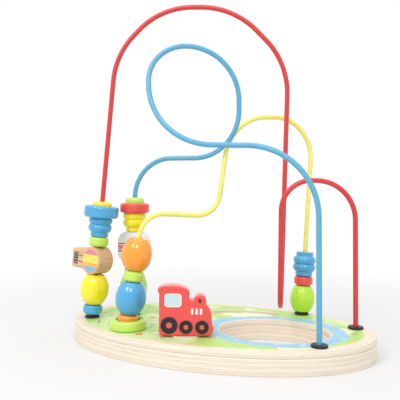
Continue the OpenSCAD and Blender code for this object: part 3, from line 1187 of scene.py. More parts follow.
@dataclass
class Wire:
    """One bent wire: its coat, its feet and its corners in mm above the top of the base."""

    node: str
    coat: Coat
    left: Point2
    right: Point2
    corners: tuple[Corner, ...]
    diameter: float = 4.2
    depth: float = 14.0
    foot_height: float = 3.0
    foot_run: float = 2.0
    sides: int = 20
    bend_step: float = 3.0
    straight: float = 1e-4
    smooth: float = 60.0

    def foot(self, at: Point2, corner: Corner) -> Corner:
        """Gives the gentle bend above a foot, with the radius that its lean asks for.

        Args:
            at: place of the foot.
            corner: the wire's next corner.

        Returns:
            The bend's corner and radius.
        """
        here = Vector((at[0], at[1], self.foot_height))
        lean = (Vector(corner[:3]) - here).angle(Vector((0.0, 0.0, 1.0)))
        return (here.x, here.y, here.z, self.foot_run / math.tan(lean / 2))

    def route(self) -> list[Corner]:
        """Gives all corners from foot to foot, in millimetres above the base's top.

        Returns:
            The corners, each with the radius of its bend.
        """
        start = [(*self.left, -self.depth, 0.0), self.foot(self.left, self.corners[0])]
        end = [self.foot(self.right, self.corners[-1]), (*self.right, -self.depth, 0.0)]
        return start + list(self.corners) + end

    def line(self) -> list[Vector]:
        """Gives the middle line, with a true arc at each corner.

        Returns:
            Points along the wire in millimetres.
        """
        route = self.route()
        out = [Vector(route[0][:3])]
        for before, (*place, radius), after in zip(route, route[1:], route[2:]):
            here = Vector(place)
            a = (Vector(before[:3]) - here).normalized()
            b = (Vector(after[:3]) - here).normalized()
            turn = math.pi - a.angle(b)
            if turn < self.straight:
                continue
            cut = radius * math.tan(turn / 2)
            centre = here + (a + b).normalized() * (radius / math.cos(turn / 2))
            start = here + a * cut - centre
            axis = start.cross(here + b * cut - centre).normalized()
            steps = max(2, round(math.degrees(turn) / self.bend_step))
            for s in range(steps + 1):
                out.append(centre + Matrix.Rotation(turn * s / steps, 3, axis) @ start)
        out.append(Vector(route[-1][:3]))
        return out

    def build(self, shelf: FinishShelf, top: float) -> None:
        """Draws the wire as a tube that keeps its twist even.

        Args:
            shelf: the finishes.
            top: height of the base's top in metres.
        """
        middle = [p * MM + Vector((0.0, 0.0, top)) for p in self.line()]
        end, sides = len(middle) - 1, self.sides
        around = disc((0.0, 0.0), 1.0, sides)
        points: list[Vector] = []
        aside = Vector((1.0, 0.0, 0.0))
        for i, p in enumerate(middle):
            ahead = (middle[min(i + 1, end)] - middle[max(i - 1, 0)]).normalized()
            aside = (aside - ahead * aside.dot(ahead)).normalized()
            up = ahead.cross(aside)
            points += [p + (aside * x + up * y) * (self.diameter * MM / 2) for x, y in around]
        faces: list[Sequence[int]] = []
        for here in range(0, end * sides, sides):
            for s in range(sides):
                t = (s + 1) % sides
                faces.append((here + s, here + t, here + sides + t, here + sides + s))
        faces.append(range(sides)[::-1])
        faces.append(range(end * sides, (end + 1) * sides))
        piece = Workshop.piece(f"{self.node}_tube", points, faces, self.smooth)
        slot = f"{self.coat.name.lower()}_coat"
        Workshop.fit(piece, shelf.coat(self.coat), "base", slot, self.node)


WIRES = (
    Wire(
        node="red_wire",
        coat=Coat.RED,
        left=(-110.0, -18.0),
        right=(113.0, 21.0),
        corners=(
            (-92.0, -12.0, 231.0, 66.0),
            (-55.0, 0.0, 273.0, 66.0),
            (6.0, 20.5, 274.0, 68.0),
            (52.0, 36.0, 226.0, 66.0),
            (48.5, 34.0, 16.0, 16.5),
            (54.0, -3.0, 16.0, 16.5),
            (54.0, -3.0, 122.0, 25.0),
            (111.0, 20.0, 122.0, 33.0),
        ),
    ),
    Wire(
        node="blue_wire",
        coat=Coat.BLUE,
        left=(-81.0, 5.0),
        right=(90.0, -44.5),
        corners=(
            (-80.0, 5.0, 141.0, 35.0),
            (16.5, 3.5, 141.0, 40.0),
            (16.5, -1.0, 234.0, 44.0),
            (-51.0, -35.0, 230.0, 32.0),
            (-42.0, -53.0, 149.0, 56.0),
            (87.0, -40.0, 146.0, 54.0),
        ),
    ),
    Wire(
        node="yellow_wire",
        coat=Coat.YELLOW,
        left=(-63.5, -44.5),
        right=(63.5, 59.0),
        corners=(
            (-54.0, -37.0, 94.0, 20.0),
            (-3.0, 5.0, 91.0, 20.0),
            (6.5, 12.5, 177.0, 42.0),
            (71.0, 65.0, 181.0, 36.0),
        ),
    ),
)


@dataclass
class Grommets:
    """Black plastic grommets at the feet of the wires; sizes in metres."""

    shelf: FinishShelf
    flange: Point2 = (12.6 * MM, 1.9 * MM)
    sleeve: Point2 = (7.3 * MM, 10 * MM)
    bore: float = 4.3 * MM
    edge: float = 0.6 * MM
    edge_steps: int = 5
    steps: int = 48
    plastic: SatinPlastic = SatinPlastic("grommet_plastic", (0.03, 0.03, 0.033))
    nodes: tuple[str, ...] = (
        "red_left_grommet",
        "red_right_grommet",
        "blue_left_grommet",
        "blue_right_grommet",
        "yellow_left_grommet",
        "yellow_right_grommet",
    )

    def section(self) -> list[Point2]:
        """Gives the section: a sleeve below zero and a domed flange above.

        Returns:
            The closed section.
        """
        wide, tall = self.flange[0] / 2, self.flange[1]
        hole, sleeve, depth = self.bore / 2, self.sleeve[0] / 2, -self.sleeve[1]
        low = [(hole, depth), (sleeve, depth), (sleeve, 0.0), (wide, 0.0)]
        rim = arc((wide - self.edge, tall - self.edge), self.edge, 0.0, QUARTER, self.edge_steps)
        return low + rim + [(hole + self.edge, tall), (hole, tall - self.edge)]

    def build(self, top: float) -> None:
        """Places a grommet at every foot.

        Args:
            top: height of the base's top in metres.
        """
        for node in self.nodes:
            middle = node_middle(node)
            piece = Workshop.lathe(f"{node}_ring", self.section(), self.steps)
            Workshop.move(piece, Matrix.Translation((middle.x, middle.y, top)))
            Workshop.fit(piece, self.shelf.get(self.plastic), "base", "black_plastic", node)


@dataclass
class BaseBoards:
    """The two glued boards, with the hole, the track and the printed motifs; sizes in metres."""

    shelf: FinishShelf
    half: Point2 = (130 * MM, 77 * MM)
    hole: Point2 = (50 * MM, -8.5 * MM)
    hole_half: Point2 = (45 * MM, 37.5 * MM)
    lower: float = 12.5 * MM
    upper: float = 5.5 * MM
    lower_edge: float = 0.7 * MM
    upper_edge: float = 1.1 * MM
    track: Point2 = (22 * MM, -3 * MM)
    track_radius: float = 56.5 * MM
    track_span: Point2 = (73.0, 233.0)
    track_steps: int = 60
    slot: float = 10.5 * MM
    channel: float = 17.9 * MM
    channel_floor: float = 7.5 * MM
    cap_steps: int = 12
    sleeve: float = 7.4 * MM
    sleeve_steps: int = 24
    steps: int = 200

    @property
    def top(self) -> float:
        """Height of the top of the base."""
        return self.lower + self.upper

    def oval(self, centre: Point2, half: Point2) -> list[Point2]:
        """Gives the outline of an oval."""
        (x, y), (wide, deep) = centre, half
        return [(x + wide * a, y + deep * b) for a, b in disc((0.0, 0.0), 1.0, self.steps)]

    def slot_outline(self, width: float) -> list[Point2]:
        """Gives the outline of the curved slot with round ends.

        Args:
            width: width of the slot in metres.

        Returns:
            The closed outline.
        """
        first, last = (math.radians(a) for a in self.track_span)
        half = width / 2

        def side(radius: float) -> list[Point2]:
            """Gives a long side of the slot."""
            return arc(self.track, radius, first, last, self.track_steps)

        def cap(at: float, start: float) -> list[Point2]:
            """Gives a round end of the slot without its two corners."""
            middle = polar(self.track, self.track_radius, at)
            return arc(middle, half, start, start + math.pi, self.cap_steps)[1:-1]

        outer, inner = side(self.track_radius + half), side(self.track_radius - half)
        return outer + cap(last, last) + inner[::-1] + cap(first, first + math.pi)

    def board(
        self, name: str, holes: Sequence[Sequence[Point2]], span: Point2, edge: float
    ) -> bpy.types.Object:
        """Cuts a board of the base between two heights.

        Args:
            name: the new object's name.
            holes: the holes beside the large oval one.
            span: height of its underside and of its top.
            edge: rounding of its edges.

        Returns:
            The board.
        """
        low, high = span
        cuts = [self.oval((0.0, 0.0), self.half), self.oval(self.hole, self.hole_half), *holes]
        piece = Workshop.slab(name, cuts, high - low, edge)
        Workshop.move(piece, Matrix.Translation((0.0, 0.0, (low + high) / 2)))
        return piece

    def build(self) -> None:
        """Cuts the boards, the floor of the track first, and prints the top."""
        feet = [tuple(node_middle(n).xy) for n in Grommets.nodes]
        sockets = [disc(at, self.sleeve / 2, self.sleeve_steps) for at in feet]
        floor = self.board("lower_board", [], (0.0, self.channel_floor), self.lower_edge)
        middle = self.board(
            "lower_board_face",
            [self.slot_outline(self.channel), *sockets],
            (self.channel_floor - 2 * self.lower_edge, self.lower),
            self.lower_edge,
        )
        upper = self.board(
            "upper_board",
            [self.slot_outline(self.slot), *sockets],
            (self.lower, self.top),
            self.upper_edge,
        )
        wood = Plywood("birch_plywood")
        picture = PrintedBoard("printed_board", wood, self.half, self.hole, self.hole_half)
        for piece in (floor, middle):
            Workshop.fit(piece, self.shelf.get(wood), "base", "birch", "lower_base")
        Workshop.fit(upper, self.shelf.get(picture), "base", "printed_top", "upper_base")
        MeadowPrint(self.shelf, self).build()


@dataclass
class Decals:
    """Gathers thin printed shapes and makes one closed piece of each ink."""

    shelf: FinishShelf
    name: str
    layer: float = 0.06 * MM
    shapes: dict[Ink, list[tuple[list[Vector], list[Vector]]]] = field(default_factory=dict)

    def add(self, ink: Ink, outline: Sequence[Point2], lay: Lay, layers: int = 1) -> None:
        """Adds a thin shape that stands on the surface.

        Args:
            ink: the shape's ink.
            outline: its closed outline.
            lay: turns a point and its height over the surface into a place in the row frame.
            layers: 1 for the first ink, 2 for an ink on top of it.
        """
        low = [lay(p, -self.layer) for p in outline]
        high = [lay(p, layers * self.layer) for p in outline]
        self.shapes.setdefault(ink, []).append((low, high))

    def build(self, body: str, slot: str) -> None:
        """Makes the pieces and lets them ride.

        Args:
            body: the CAD body that carries the print.
            slot: the record's material slot under the print.
        """
        for ink, shapes in self.shapes.items():
            points: list[Vector] = []
            faces: list[list[int]] = []
            for low, high in shapes:
                first, count = len(points), len(low)
                under = list(range(first, first + count))
                faces.append(under[::-1])
                faces.append([i + count for i in under])
                for i, j in zip(under, under[1:] + under[:1]):
                    faces.append([i, j, j + count, i + count])
                points += low + high
            piece = Workshop.piece(f"{self.name}_{ink.name.lower()}", points, faces)
            Workshop.fit(piece, self.shelf.ink(ink), body, slot)


class Motif(Enum):
    """Kinds of printed motifs on the base."""

    FLOWER = "flower"
    PEBBLES = "pebbles"
    LEAVES = "leaves"


@dataclass
class MeadowPrint:
    """Loose flowers, pebbles and leaves printed on the top of the base; motif sizes in mm."""

    shelf: FinishShelf
    base: BaseBoards
    count: int = 54
    tries: int = 6000
    seed: int = 11
    reach: float = 4.6 * MM
    apart: float = 9 * MM
    slider: float = 22 * MM
    feet_room: float = 17 * MM
    rim_share: float = 0.9
    bank_share: float = 1.25
    dot_steps: int = 14
    petals: int = 5
    petal_ring: float = 2.1
    petal: float = 1.2
    heart: float = 1.1
    pebbles: int = 3
    pebble_step: float = 3.1
    pebble_sway: float = 1.5
    pebble: Point2 = (0.8, 1.4)
    leaf: tuple[Point2, ...] = ((0.3, 0.15), (2.0, 0.6), (4.2, 2.6), (1.4, 2.0))
    kinds: tuple[Motif, ...] = (
        Motif.FLOWER,
        Motif.FLOWER,
        Motif.PEBBLES,
        Motif.LEAVES,
        Motif.LEAVES,
    )
    flower_inks: tuple[Ink, ...] = (Ink.RED, Ink.PINK, Ink.WHITE, Ink.YELLOW)

    def free(self, x: float, y: float) -> bool:
        """Tells whether a motif at a place stays on the printed field.

        Args:
            x: place along the base.
            y: place across the base.

        Returns:
            True where the motif is clear of rim, hole, slider and feet.
        """
        b, reach = self.base, self.reach
        rim = math.hypot(x / (b.half[0] - reach), y / (b.half[1] - reach))
        bank = math.hypot(
            (x - b.hole[0]) / (b.hole_half[0] + reach), (y - b.hole[1]) / (b.hole_half[1] + reach)
        )
        if rim > self.rim_share or bank < self.bank_share:
            return False
        away = math.hypot(x - b.track[0], y - b.track[1]) - b.track_radius
        if abs(away) < self.slider / 2 + reach:
            return False
        here = Vector((x, y))
        return all((node_middle(n).xy - here).length > self.feet_room for n in Grommets.nodes)

    def build(self) -> None:
        """Scatters the motifs with a fixed seed and prints them."""
        draw = random.Random(self.seed)
        decals = Decals(self.shelf, "meadow_print")
        spots: list[Vector] = []
        for _ in range(self.tries):
            if len(spots) == self.count:
                break
            x = draw.uniform(-1, 1) * self.base.half[0]
            y = draw.uniform(-1, 1) * self.base.half[1]
            spot = Vector((x, y))
            if all((spot - s).length > self.apart for s in spots) and self.free(x, y):
                spots.append(spot)
                self.motif(decals, spot, draw)
        decals.build("base", "printed_top")

    def motif(self, decals: Decals, spot: Vector, draw: random.Random) -> None:
        """Adds one flower, pebble group or leaf pair.

        Args:
            decals: where the shapes go.
            spot: the motif's place.
            draw: the seeded draw.
        """
        turn = draw.uniform(0, FULL)
        c, s = math.cos(turn), math.sin(turn)

        def lay(p: Point2, height: float) -> Vector:
            """Places a motif's point on the board."""
            x, y = p[0] * MM, p[1] * MM
            return Vector((spot.x + x * c - y * s, spot.y + x * s + y * c, self.base.top + height))

        def dot(ink: Ink, at: Point2, radius: float, layers: int = 1) -> None:
            """Adds a round dot."""
            decals.add(ink, disc(at, radius, self.dot_steps), lay, layers)

        kind = draw.choice(self.kinds)
        if kind is Motif.FLOWER:
            ink = draw.choice(self.flower_inks)
            for at in disc((0.0, 0.0), self.petal_ring, self.petals):
                dot(ink, at, self.petal)
            dot(Ink.ORANGE, (0.0, 0.0), self.heart, 2)
        elif kind is Motif.PEBBLES:
            for k in range(self.pebbles):
                at = (self.pebble_step * (k - 1), draw.uniform(-self.pebble_sway, self.pebble_sway))
                dot(Ink.GREY, at, draw.uniform(*self.pebble))
        else:
            for side in (-1, 1):
                decals.add(Ink.LEAF, [(x, side * y) for x, y in self.leaf], lay)


@dataclass
class Train:
    """The red cut-out locomotive with its prints, its wheels and its slider; sizes in mm."""

    shelf: FinishShelf
    joints: Joints
    turn: float = 18.0
    length: float = 43.0
    height: float = 38.5
    thick: float = 14.0
    edge: float = 1.0
    ledge: float = 1.2
    corner: float = 2.6
    cab: float = 23.2
    arch: float = 28.5
    crest: float = 0.43
    brow: float = 1.5
    boiler: float = 27.5
    boiler_radius: float = 13.2
    boiler_inset: float = 0.2
    boiler_start: float = 0.14
    chest_drop: float = 1.8
    dome: float = 4.9
    dome_share: float = 0.32
    dome_sink: float = 1.1
    least_step: float = 0.02
    big_wheel: float = 13.0
    small_wheel: float = 10.4
    wheel_foot: float = 1.5
    wheel_gap: float = 1.8
    rear_margin: float = 1.3
    front_margin: float = 2.4
    wheel_lift: float = 0.4
    wheel_edge: float = 0.15
    hub_lift: float = 0.12
    hub_share: float = 0.36
    wheel_steps: int = 48
    peg_bore: float = 6.6
    peg_depth: float = 10.0
    window: tuple[float, float, float, float] = (5.7, 22.4, 18.0, 32.0)
    window_frame: float = 0.35
    window_corners: Point2 = (2.4, 1.9)
    bars: tuple[float, ...] = (25.7, 29.1, 32.5)
    bar_size: Triple = (1.8, 16.5, 21.1)
    bar_corner: float = 0.5
    lamp: tuple[float, float, float, float] = (32.5, 26.9, 1.15, 1.6)
    lamp_steps: int = 24
    slider_plastic: SatinPlastic = SatinPlastic("slider_plastic", (0.90, 0.86, 0.76))

    @property
    def spot(self) -> Matrix:
        """The place on the peg: X ahead, Z up."""
        pivot, low = self.joints.pivot("train"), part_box("train")[0]
        return Matrix.Translation((pivot.x, pivot.y, low.z)) @ turned(self.turn, "Z")

    @property
    def stand(self) -> Matrix:
        """The turn that sets the drawing upright: X ahead, Y up, Z out of the front side."""
        return turned(90.0, "X")

    def crossings(self, boiler: Vector, dome: Vector) -> tuple[Vector, Vector]:
        """Gives the points where the dome's circle meets the boiler's.

        Args:
            boiler: centre of the boiler's circle.
            dome: centre of the dome's circle.

        Returns:
            The front point and the rear point.
        """
        apart = (dome - boiler).length
        share = (self.boiler_radius**2 - self.dome**2 + apart**2) / (2 * apart)
        aside = math.sqrt(self.boiler_radius**2 - share**2)
        ahead = (dome - boiler).normalized()
        left = Vector((-ahead.y, ahead.x))
        foot = boiler + ahead * share
        return foot - left * aside, foot + left * aside

    def outline(self) -> list[Point2]:
        """Gives the side view: arched cab, round boiler, dome and bumper.

        Returns:
            The closed outline in metres.
        """
        rear, front = -self.length / 2, self.length / 2
        back, ahead = rear + self.ledge, front - self.ledge
        cab, r, brow = back + self.cab, self.corner, self.brow * self.corner
        roof = Vector((rear + self.crest * (self.cab + self.ledge), self.height - self.arch))

        def heading(start: Vector, end: Vector) -> float:
            """Gives the direction from one point to another."""
            return math.atan2(end.y - start.y, end.x - start.x)

        def under_roof(x: float, radius: float) -> Vector:
            """Gives the centre of a corner's circle that touches the arch from inside."""
            return Vector((x, roof.y + math.sqrt((self.arch - radius) ** 2 - (x - roof.x) ** 2)))

        back_top, brow_top = under_roof(rear + r, r), under_roof(cab - brow, brow)
        girth, chest = self.boiler_radius, self.boiler - self.boiler_radius
        boiler = Vector((ahead - girth - self.boiler_inset, chest))
        dome = boiler + Vector((self.dome_share * girth, girth - self.dome_sink))
        dome_front, dome_rear = self.crossings(boiler, dome)
        cab_foot = math.acos((cab - boiler.x) / girth)
        low, high, soft = self.small_wheel / 4, self.small_wheel * 3 / 4, self.ledge
        lip = math.acos((back - back_top.x) / r)
        brow_turn, back_turn = heading(roof, brow_top), heading(roof, back_top)
        out = arc((back + r, r), r, 2 * QUARTER, 3 * QUARTER, 6)
        out += arc((ahead - r, r), r, -QUARTER, 0.0, 6)
        out += arc((front - soft, low + soft), soft, -QUARTER, 0.0, 5)
        out += arc((front - soft, high - soft), soft, 0.0, QUARTER, 5)
        out.append((ahead, chest - self.chest_drop))
        out += arc(boiler, girth, self.boiler_start, heading(boiler, dome_front))
        out += arc(dome, self.dome, heading(dome, dome_front), heading(dome, dome_rear), 20)
        out += arc(boiler, girth, heading(boiler, dome_rear), cab_foot, 5)
        out += arc(brow_top, brow, 0.0, brow_turn, 8)
        out += arc(roof, self.arch, brow_turn, back_turn, 24)
        out += arc(back_top, r, back_turn, FULL - lip, 10)
        return scaled([p for i, p in enumerate(out) if math.dist(p, out[i - 1]) > self.least_step])

    def body(self) -> None:
        """Cuts the locomotive and paints it."""
        piece = Workshop.slab("train_body", [self.outline()], self.thick * MM, self.edge * MM)
        Workshop.move(piece, self.stand)
        Workshop.bore(piece, -MM, self.peg_depth * MM, self.peg_bore * MM)
        Workshop.move(piece, self.spot)
        Workshop.fit(piece, self.shelf.paint(Paint.RED), "train", "red_paint", "train")

    def prints(self) -> None:
        """Prints window, bars and lamp on both sides."""
        decals = Decals(self.shelf, "train_print")
        rear = -self.length / 2
        wide, low, high = self.bar_size
        x, y, half_wide, half_tall = self.lamp
        circle = disc((0.0, 0.0), 1.0, self.lamp_steps)
        lamp = [(rear + x + half_wide * a, y + half_tall * b) for a, b in circle]
        outer, inner = self.window_corners

        def box(b: Sequence[float], grow: float, r: float) -> list[Point2]:
            """Gives a rounded rectangle from its distances to the rear and the foot."""
            x0, y0, x1, y1 = rear + b[0] - grow, b[1] - grow, rear + b[2] + grow, b[3] + grow
            return Workshop.rounded([(x0, y0, r), (x1, y0, r), (x1, y1, r), (x0, y1, r)], 5)

        for lay in sides_of(self.spot @ self.stand, self.thick):
            decals.add(Ink.WHITE, box(self.window, self.window_frame, outer), lay)
            decals.add(Ink.PALE_BLUE, box(self.window, -self.window_frame, inner), lay, 2)
            for bar in self.bars:
                decals.add(Ink.WHITE, box((bar, low, bar + wide, high), 0.0, self.bar_corner), lay)
            decals.add(Ink.BLACK, lamp, lay)
        decals.build("train", "red_paint")

    def wheels(self) -> None:
        """Sets the black wheels with their red hubs on both sides."""
        frame = self.spot @ self.stand
        big, small = self.big_wheel, self.small_wheel
        rear = -self.length / 2 + self.ledge + big / 2 + self.rear_margin
        ahead = self.length / 2 - self.ledge - small / 2 - self.front_margin
        places = ((rear, big), (ahead - small - self.wheel_gap, small), (ahead, small))
        layers = (
            ("tyre", 1.0, self.wheel_lift, Ink.BLACK),
            ("hub", self.hub_share, self.wheel_lift + self.hub_lift, Ink.RED),
        )
        sides = (("front", 1, Matrix.Identity(4)), ("back", -1, turned(180.0, "X")))
        for number, (x, wide) in enumerate(places, 1):
            for part, share, high, ink in layers:
                r, edge = wide / 2 * share, self.wheel_edge
                profile = [(0.0, 0.0), (r, 0.0), (r, high - edge), (r - edge, high), (0.0, high)]
                for label, side, flip in sides:
                    name = f"train_wheel_{number}_{part}_{label}"
                    piece = Workshop.lathe(name, scaled(profile), self.wheel_steps)
                    up, out = wide / 2 + self.wheel_foot, side * self.thick / 2
                    at = Matrix.Translation((x * MM, up * MM, out * MM))
                    Workshop.move(piece, frame @ at @ flip)
                    Workshop.fit(piece, self.shelf.ink(ink), "train", "red_paint")

    def build(self) -> None:
        """Builds the train, and gives the slider its plastic over its CAD shape."""
        self.body()
        self.prints()
        self.wheels()
        slider = self.joints.frame["nodes"]["train_slider"]
        Workshop.dress(slider, self.shelf.get(self.slider_plastic))
        log.info("dressed the slider")


@dataclass
class CutOut:
    """A flat wooden cut-out that a leg passes through from top to bottom; sizes in mm."""

    shelf: FinishShelf
    joints: Joints
    node: str
    turn: float
    thick: float
    rise: float
    tall: float
    bore: float = 6.2
    edge: float = 0.9

    @property
    def leg(self) -> Matrix:
        """The frame on the leg at half the cut-out's height.

        Returns:
            The frame, with Z up the leg and X out of the face.
        """
        axis = self.joints.axis(self.node).normalized()
        middle = self.joints.pivot(self.node) + axis * (self.rise * MM)
        return along(axis, middle) @ turned(self.turn, "Z")

    @property
    def face(self) -> Matrix:
        """The turn that sets the drawing upright: X down the leg, Y across, Z out of the face."""
        return turned(90.0, "Y")

    def outline(self) -> list[Point2]:
        """Gives the closed outline."""
        raise NotImplementedError

    def material(self) -> bpy.types.Material:
        """Gives the material of the wood."""
        raise NotImplementedError

    def slot_name(self) -> str:
        """Gives the record's material slot."""
        raise NotImplementedError

    def draw(self, decals: Decals, lay: Lay) -> None:
        """Draws the print of one face."""
        raise NotImplementedError

    def build(self) -> None:
        """Cuts the piece and prints both of its faces."""
        outline = scaled(self.outline())
        piece = Workshop.slab(f"{self.node}_wood", [outline], self.thick * MM, self.edge * MM)
        Workshop.move(piece, self.face)
        Workshop.bore(piece, -self.tall * MM, self.tall * MM, self.bore * MM)
        Workshop.move(piece, self.leg)
        Workshop.fit(piece, self.material(), self.node, self.slot_name(), self.node)
        decals = Decals(self.shelf, f"{self.node}_print")
        for lay in sides_of(self.leg @ self.face, self.thick):
            self.draw(decals, lay)
        decals.build(self.node, self.slot_name())


@dataclass
class Balloon(CutOut):
    """A plain wood balloon on its side, with printed stripes and a basket."""

    basket_reach: float = 24.0
    basket: float = 17.0
    basket_corner: float = 2.0
    drum_steps: int = 48
    envelope: float = 9.6
    envelope_rise: float = 0.8
    envelope_stretch: float = 1.02
    stripe_steps: int = 10
    stripes: tuple[tuple[Ink, float, float], ...] = (
        (Ink.PINK, -1.0, -0.55),
        (Ink.YELLOW, -0.55, 0.2),
        (Ink.ORANGE, 0.2, 0.55),
        (Ink.BLUE, 0.55, 1.0),
    )
    rope: float = 0.35
    rope_apart: float = 2.8
    rope_gather: float = 0.8
    rope_span: Point2 = (-9.8, -15.5)
    weave: float = 5.5
    weave_foot: float = 5.0
    weave_span: Point2 = (-16.0, -21.4)
    slat: float = 0.3
    slats: tuple[float, ...] = (-3.9, -1.3, 1.3, 3.9)
    slat_span: Point2 = (-16.6, -20.8)

    @staticmethod
    def tapered(middles: Point2, halves: Point2, span: Point2) -> list[Point2]:
        """Gives a four-cornered outline."""
        (a, b), (p, q), (first, last) = middles, halves, span
        return [(a - p, first), (a + p, first), (b + q, last), (b - q, last)]

    def outline(self) -> list[Point2]:
        """Gives the drum with the basket that stands out on one side.

        Returns:
            The closed outline.
        """
        r, half, out = self.tall / 2, self.basket / 2, -self.basket_reach
        meet = math.asin(half / r)
        drum = arc((0.0, 0.0), r, meet - QUARTER, 3 * QUARTER - meet, self.drum_steps)
        root, soft = -r * math.cos(meet), self.basket_corner
        corners = [(-half, root, 0.0), (-half, out, soft), (half, out, soft), (half, root, 0.0)]
        return drum + Workshop.rounded(corners)[1:-1]

    def material(self) -> bpy.types.Material:
        """Gives the clear-lacquered wood."""
        return self.shelf.get(PlainWood("balloon_wood"))

    def slot_name(self) -> str:
        """Gives the record's material slot."""
        return "plain_wood"

    def draw(self, decals: Decals, lay: Lay) -> None:
        """Prints stripes across the balloon, ropes and a basket.

        Args:
            decals: where the shapes go.
            lay: turns a drawing point and its height over the face into a place.
        """
        r, rise, stretch = self.envelope, self.envelope_rise, self.envelope_stretch
        for ink, low, high in self.stripes:
            a, b = math.asin(low), math.asin(high)
            turns = [a + (b - a) * s / self.stripe_steps for s in range(self.stripe_steps + 1)]
            right = [(r * math.sin(t), rise + r * math.cos(t)) for t in turns]
            left = [(r * math.sin(t), rise - r * stretch * math.cos(t)) for t in reversed(turns)]
            decals.add(ink, right + left, lay)
        for x in (-self.rope_apart, self.rope_apart):
            rope = self.tapered((x, x * self.rope_gather), (self.rope, self.rope), self.rope_span)
            decals.add(Ink.BROWN, rope, lay)
        weave = self.tapered((0.0, 0.0), (self.weave, self.weave_foot), self.weave_span)
        decals.add(Ink.BROWN, weave, lay)
        for x in self.slats:
            slat = self.tapered((x, x), (self.slat, self.slat), self.slat_span)
            decals.add(Ink.GREY, slat, lay, 2)


@dataclass
class WhiteCutOut(CutOut):
    """A white painted cut-out with rounded shoulders and three plain bands."""

    width: float = 27.0
    corner: float = 9.0
    bands: tuple[tuple[Ink, float, float], ...] = (
        (Ink.BROWN, -3.4, -2.6),
        (Ink.PINK, -1.6, 2.4),
        (Ink.BROWN, 3.4, 4.2),
    )

    def outline(self) -> list[Point2]:
        """Gives the rounded outline."""
        x, y, r = self.tall / 2, self.width / 2, self.corner
        return Workshop.rounded([(-x, -y, r), (x, -y, r), (x, y, r), (-x, y, r)])

    def material(self) -> bpy.types.Material:
        """Gives the white lacquer."""
        return self.shelf.paint(Paint.WHITE)

    def slot_name(self) -> str:
        """Gives the record's material slot."""
        return "white_paint"

    def draw(self, decals: Decals, lay: Lay) -> None:
        """Prints a broad pink band between two thin dark lines.

        Args:
            decals: where the shapes go.
            lay: turns a drawing point and its height over the face into a place.
        """
        side = self.width / 2 - self.edge
        for ink, low, high in self.bands:
            decals.add(ink, [(low, -side), (high, -side), (high, side), (low, side)], lay)


@dataclass(frozen=True)
class Paper(Finish):
    """The studio's paper: matt near the object, and shining white far away."""

    colour: Colour
    fade: Point2
    shade: float = 0.01
    shade_scale: float = 3.0
    gloss: Point2 = (0.8, 0.9)
    sheen: float = 0.1

    def lay(self, n: Nodes) -> None:
        """Lays the paper, and fades it to white where it is seen and doesn't light the object.

        Args:
            n: the material's node helper.
        """
        at = n.place()
        shade = n.noise(at, self.shade_scale)
        n.colour(n.blend(shade, self.colour, mixed(self.colour, BLACK, self.shade)))
        n.rough(shade, self.gloss)
        n.constant(Specular_IOR_Level=self.sheen)
        away = n.add("ShaderNodeVectorMath", operation="LENGTH")
        n.join(at, away.inputs[0])
        path = n.add("ShaderNodeLightPath").outputs
        seen = n.maths("MAXIMUM", path["Is Camera Ray"], path["Is Glossy Ray"])
        seen = n.maths("MAXIMUM", seen, path["Is Transmission Ray"])
        mix = n.add("ShaderNodeMixShader")
        share = n.maths("MULTIPLY", seen, n.ramp(away.outputs["Value"], self.fade))
        white = n.add("ShaderNodeEmission", Strength=1.0)
        n.join(share, mix.inputs["Fac"])
        n.join(n.shader.outputs["BSDF"], mix.inputs[1])
        n.join(white.outputs["Emission"], mix.inputs[2])
        n.join(mix.outputs["Shader"], n.output.inputs["Surface"])


@dataclass(frozen=True)
class Softbox:
    """A square lamp: its place and side in metres, and its power in watts."""

    name: str
    place: Triple
    size: float
    power: float


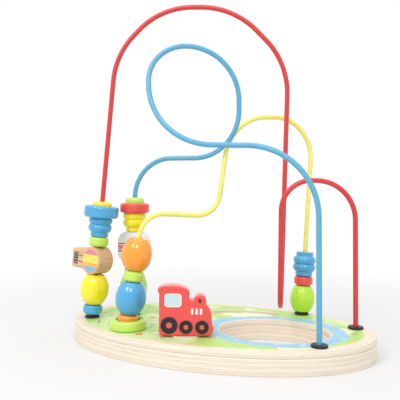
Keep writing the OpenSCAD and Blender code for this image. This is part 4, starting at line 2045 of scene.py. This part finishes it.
@dataclass
class Studio:
    """Pale floor, soft lights and the camera; places in metres, angles in degrees."""

    eye: Triple = (0.1287, -0.4503, 0.1312)
    heading: float = -17.9
    pitch: float = 1.03
    roll: float = 0.57
    lens: float = 49.5
    sensor: float = 36.0
    nearest: float = 0.01
    floor_size: float = 40.0
    floor_rings: int = 24
    floor_steps: int = 48
    paper: Paper = Paper("studio_paper", colour=(0.895, 0.895, 0.90), fade=(0.12, 0.55))
    sky: float = 0.74
    target: Triple = (0.0, 0.0, 0.1)
    lamps: tuple[Softbox, ...] = (
        Softbox("left_softbox", (-0.42, -0.95, 1.05), 0.4, 4.4),
        Softbox("right_softbox", (0.30, -1.05, 1.05), 0.4, 4.4),
        Softbox("overhead_softbox", (0.0, 0.1, 1.7), 1.6, 8.0),
    )

    def floor(self) -> None:
        """Lays a wide round floor, with its rings closest together in the middle."""
        rings, steps = self.floor_rings, self.floor_steps
        points = [Vector((0.0, 0.0, 0.0))]
        for ring in range(1, rings + 1):
            r = self.floor_size / 2 * (ring / rings) ** 2
            points += [Vector((x, y, 0.0)) for x, y in disc((0.0, 0.0), r, steps)]
        pairs = [(s, (s + 1) % steps) for s in range(steps)]
        faces: list[Sequence[int]] = [(0, 1 + s, 1 + t) for s, t in pairs]
        for ring in range(rings - 1):
            a, b = 1 + ring * steps, 1 + (ring + 1) * steps
            faces += [(a + s, b + s, b + t, a + t) for s, t in pairs]
        piece = Workshop.piece("studio_floor", points, faces)
        Workshop.dress(piece, self.paper.material())

    def lights(self) -> None:
        """Hangs two square softboxes in front and a wide one above."""
        for lamp in self.lamps:
            light = bpy.data.lights.new(lamp.name, "AREA")
            light.energy = lamp.power
            light.size = lamp.size
            box = Workshop.link(lamp.name, light)
            box.location = lamp.place
            aim = Vector(self.target) - Vector(lamp.place)
            box.rotation_euler = aim.to_track_quat("-Z", "Y").to_euler()

    def world(self) -> None:
        """Sets an even white room that is seen brighter than it shines."""
        world = bpy.data.worlds.new("white_room")
        world.use_nodes = True
        nodes, join = world.node_tree.nodes, world.node_tree.links.new
        back = nodes["Background"]
        back.inputs["Color"].default_value = linear(WHITE)
        path = nodes.new("ShaderNodeLightPath").outputs
        seen = path["Is Camera Ray"]
        for kind in ("Is Glossy Ray", "Is Transmission Ray"):
            either = nodes.new("ShaderNodeMath")
            either.operation = "MAXIMUM"
            join(seen, either.inputs[0])
            join(path[kind], either.inputs[1])
            seen = either.outputs[0]
        level = nodes.new("ShaderNodeMapRange")
        level.inputs["To Min"].default_value = self.sky
        level.inputs["To Max"].default_value = 1.0
        join(seen, level.inputs["Value"])
        join(level.outputs["Result"], back.inputs["Strength"])
        bpy.context.scene.world = world

    def camera(self) -> None:
        """Sets the camera at the photograph's angle."""
        yaw = Matrix.Rotation(math.radians(-self.heading), 3, "Z")
        p, r = math.radians(self.pitch), math.radians(self.roll)
        ahead = yaw @ Vector((0.0, math.cos(p), -math.sin(p)))
        right = yaw @ Vector((1.0, 0.0, 0.0))
        up = yaw @ Vector((0.0, math.sin(p), math.cos(p)))
        across = right * math.cos(r) + up * math.sin(r)
        upright = up * math.cos(r) - right * math.sin(r)
        data = bpy.data.cameras.new("photo_camera")
        data.sensor_width = self.sensor
        data.lens = self.lens
        data.clip_start = self.nearest
        eye = Workshop.link("photo_camera", data)
        turn = Matrix((across, upright, -ahead)).transposed().to_4x4()
        eye.matrix_world = Matrix.Translation(self.eye) @ turn
        bpy.context.scene.camera = eye

    def build(self) -> None:
        """Builds the studio."""
        self.floor()
        self.lights()
        self.world()
        self.camera()
        bpy.context.scene.view_settings.view_transform = "Standard"
        log.info("set the studio")


def main() -> None:
    """Loads the frame and builds every sub-assembly in order."""
    logging.basicConfig(level=logging.INFO, format="%(name)s: %(message)s")
    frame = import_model()
    shelf = FinishShelf()
    joints = Joints(frame)
    Studio().build()
    base = BaseBoards(shelf)
    base.build()
    for wire in WIRES:
        wire.build(shelf, base.top)
    Grommets(shelf).build(base.top)
    BeadSet(shelf, joints).build()
    Balloon(shelf, joints, "balloon", turn=250.0, thick=16.5, rise=47.6, tall=24.0).build()
    WhiteCutOut(
        shelf, joints, "white_cut_out", turn=270.0, thick=13.0, rise=58.45, tall=27.5
    ).build()
    Train(shelf, joints).build()


if __name__ == "__main__":
    main()
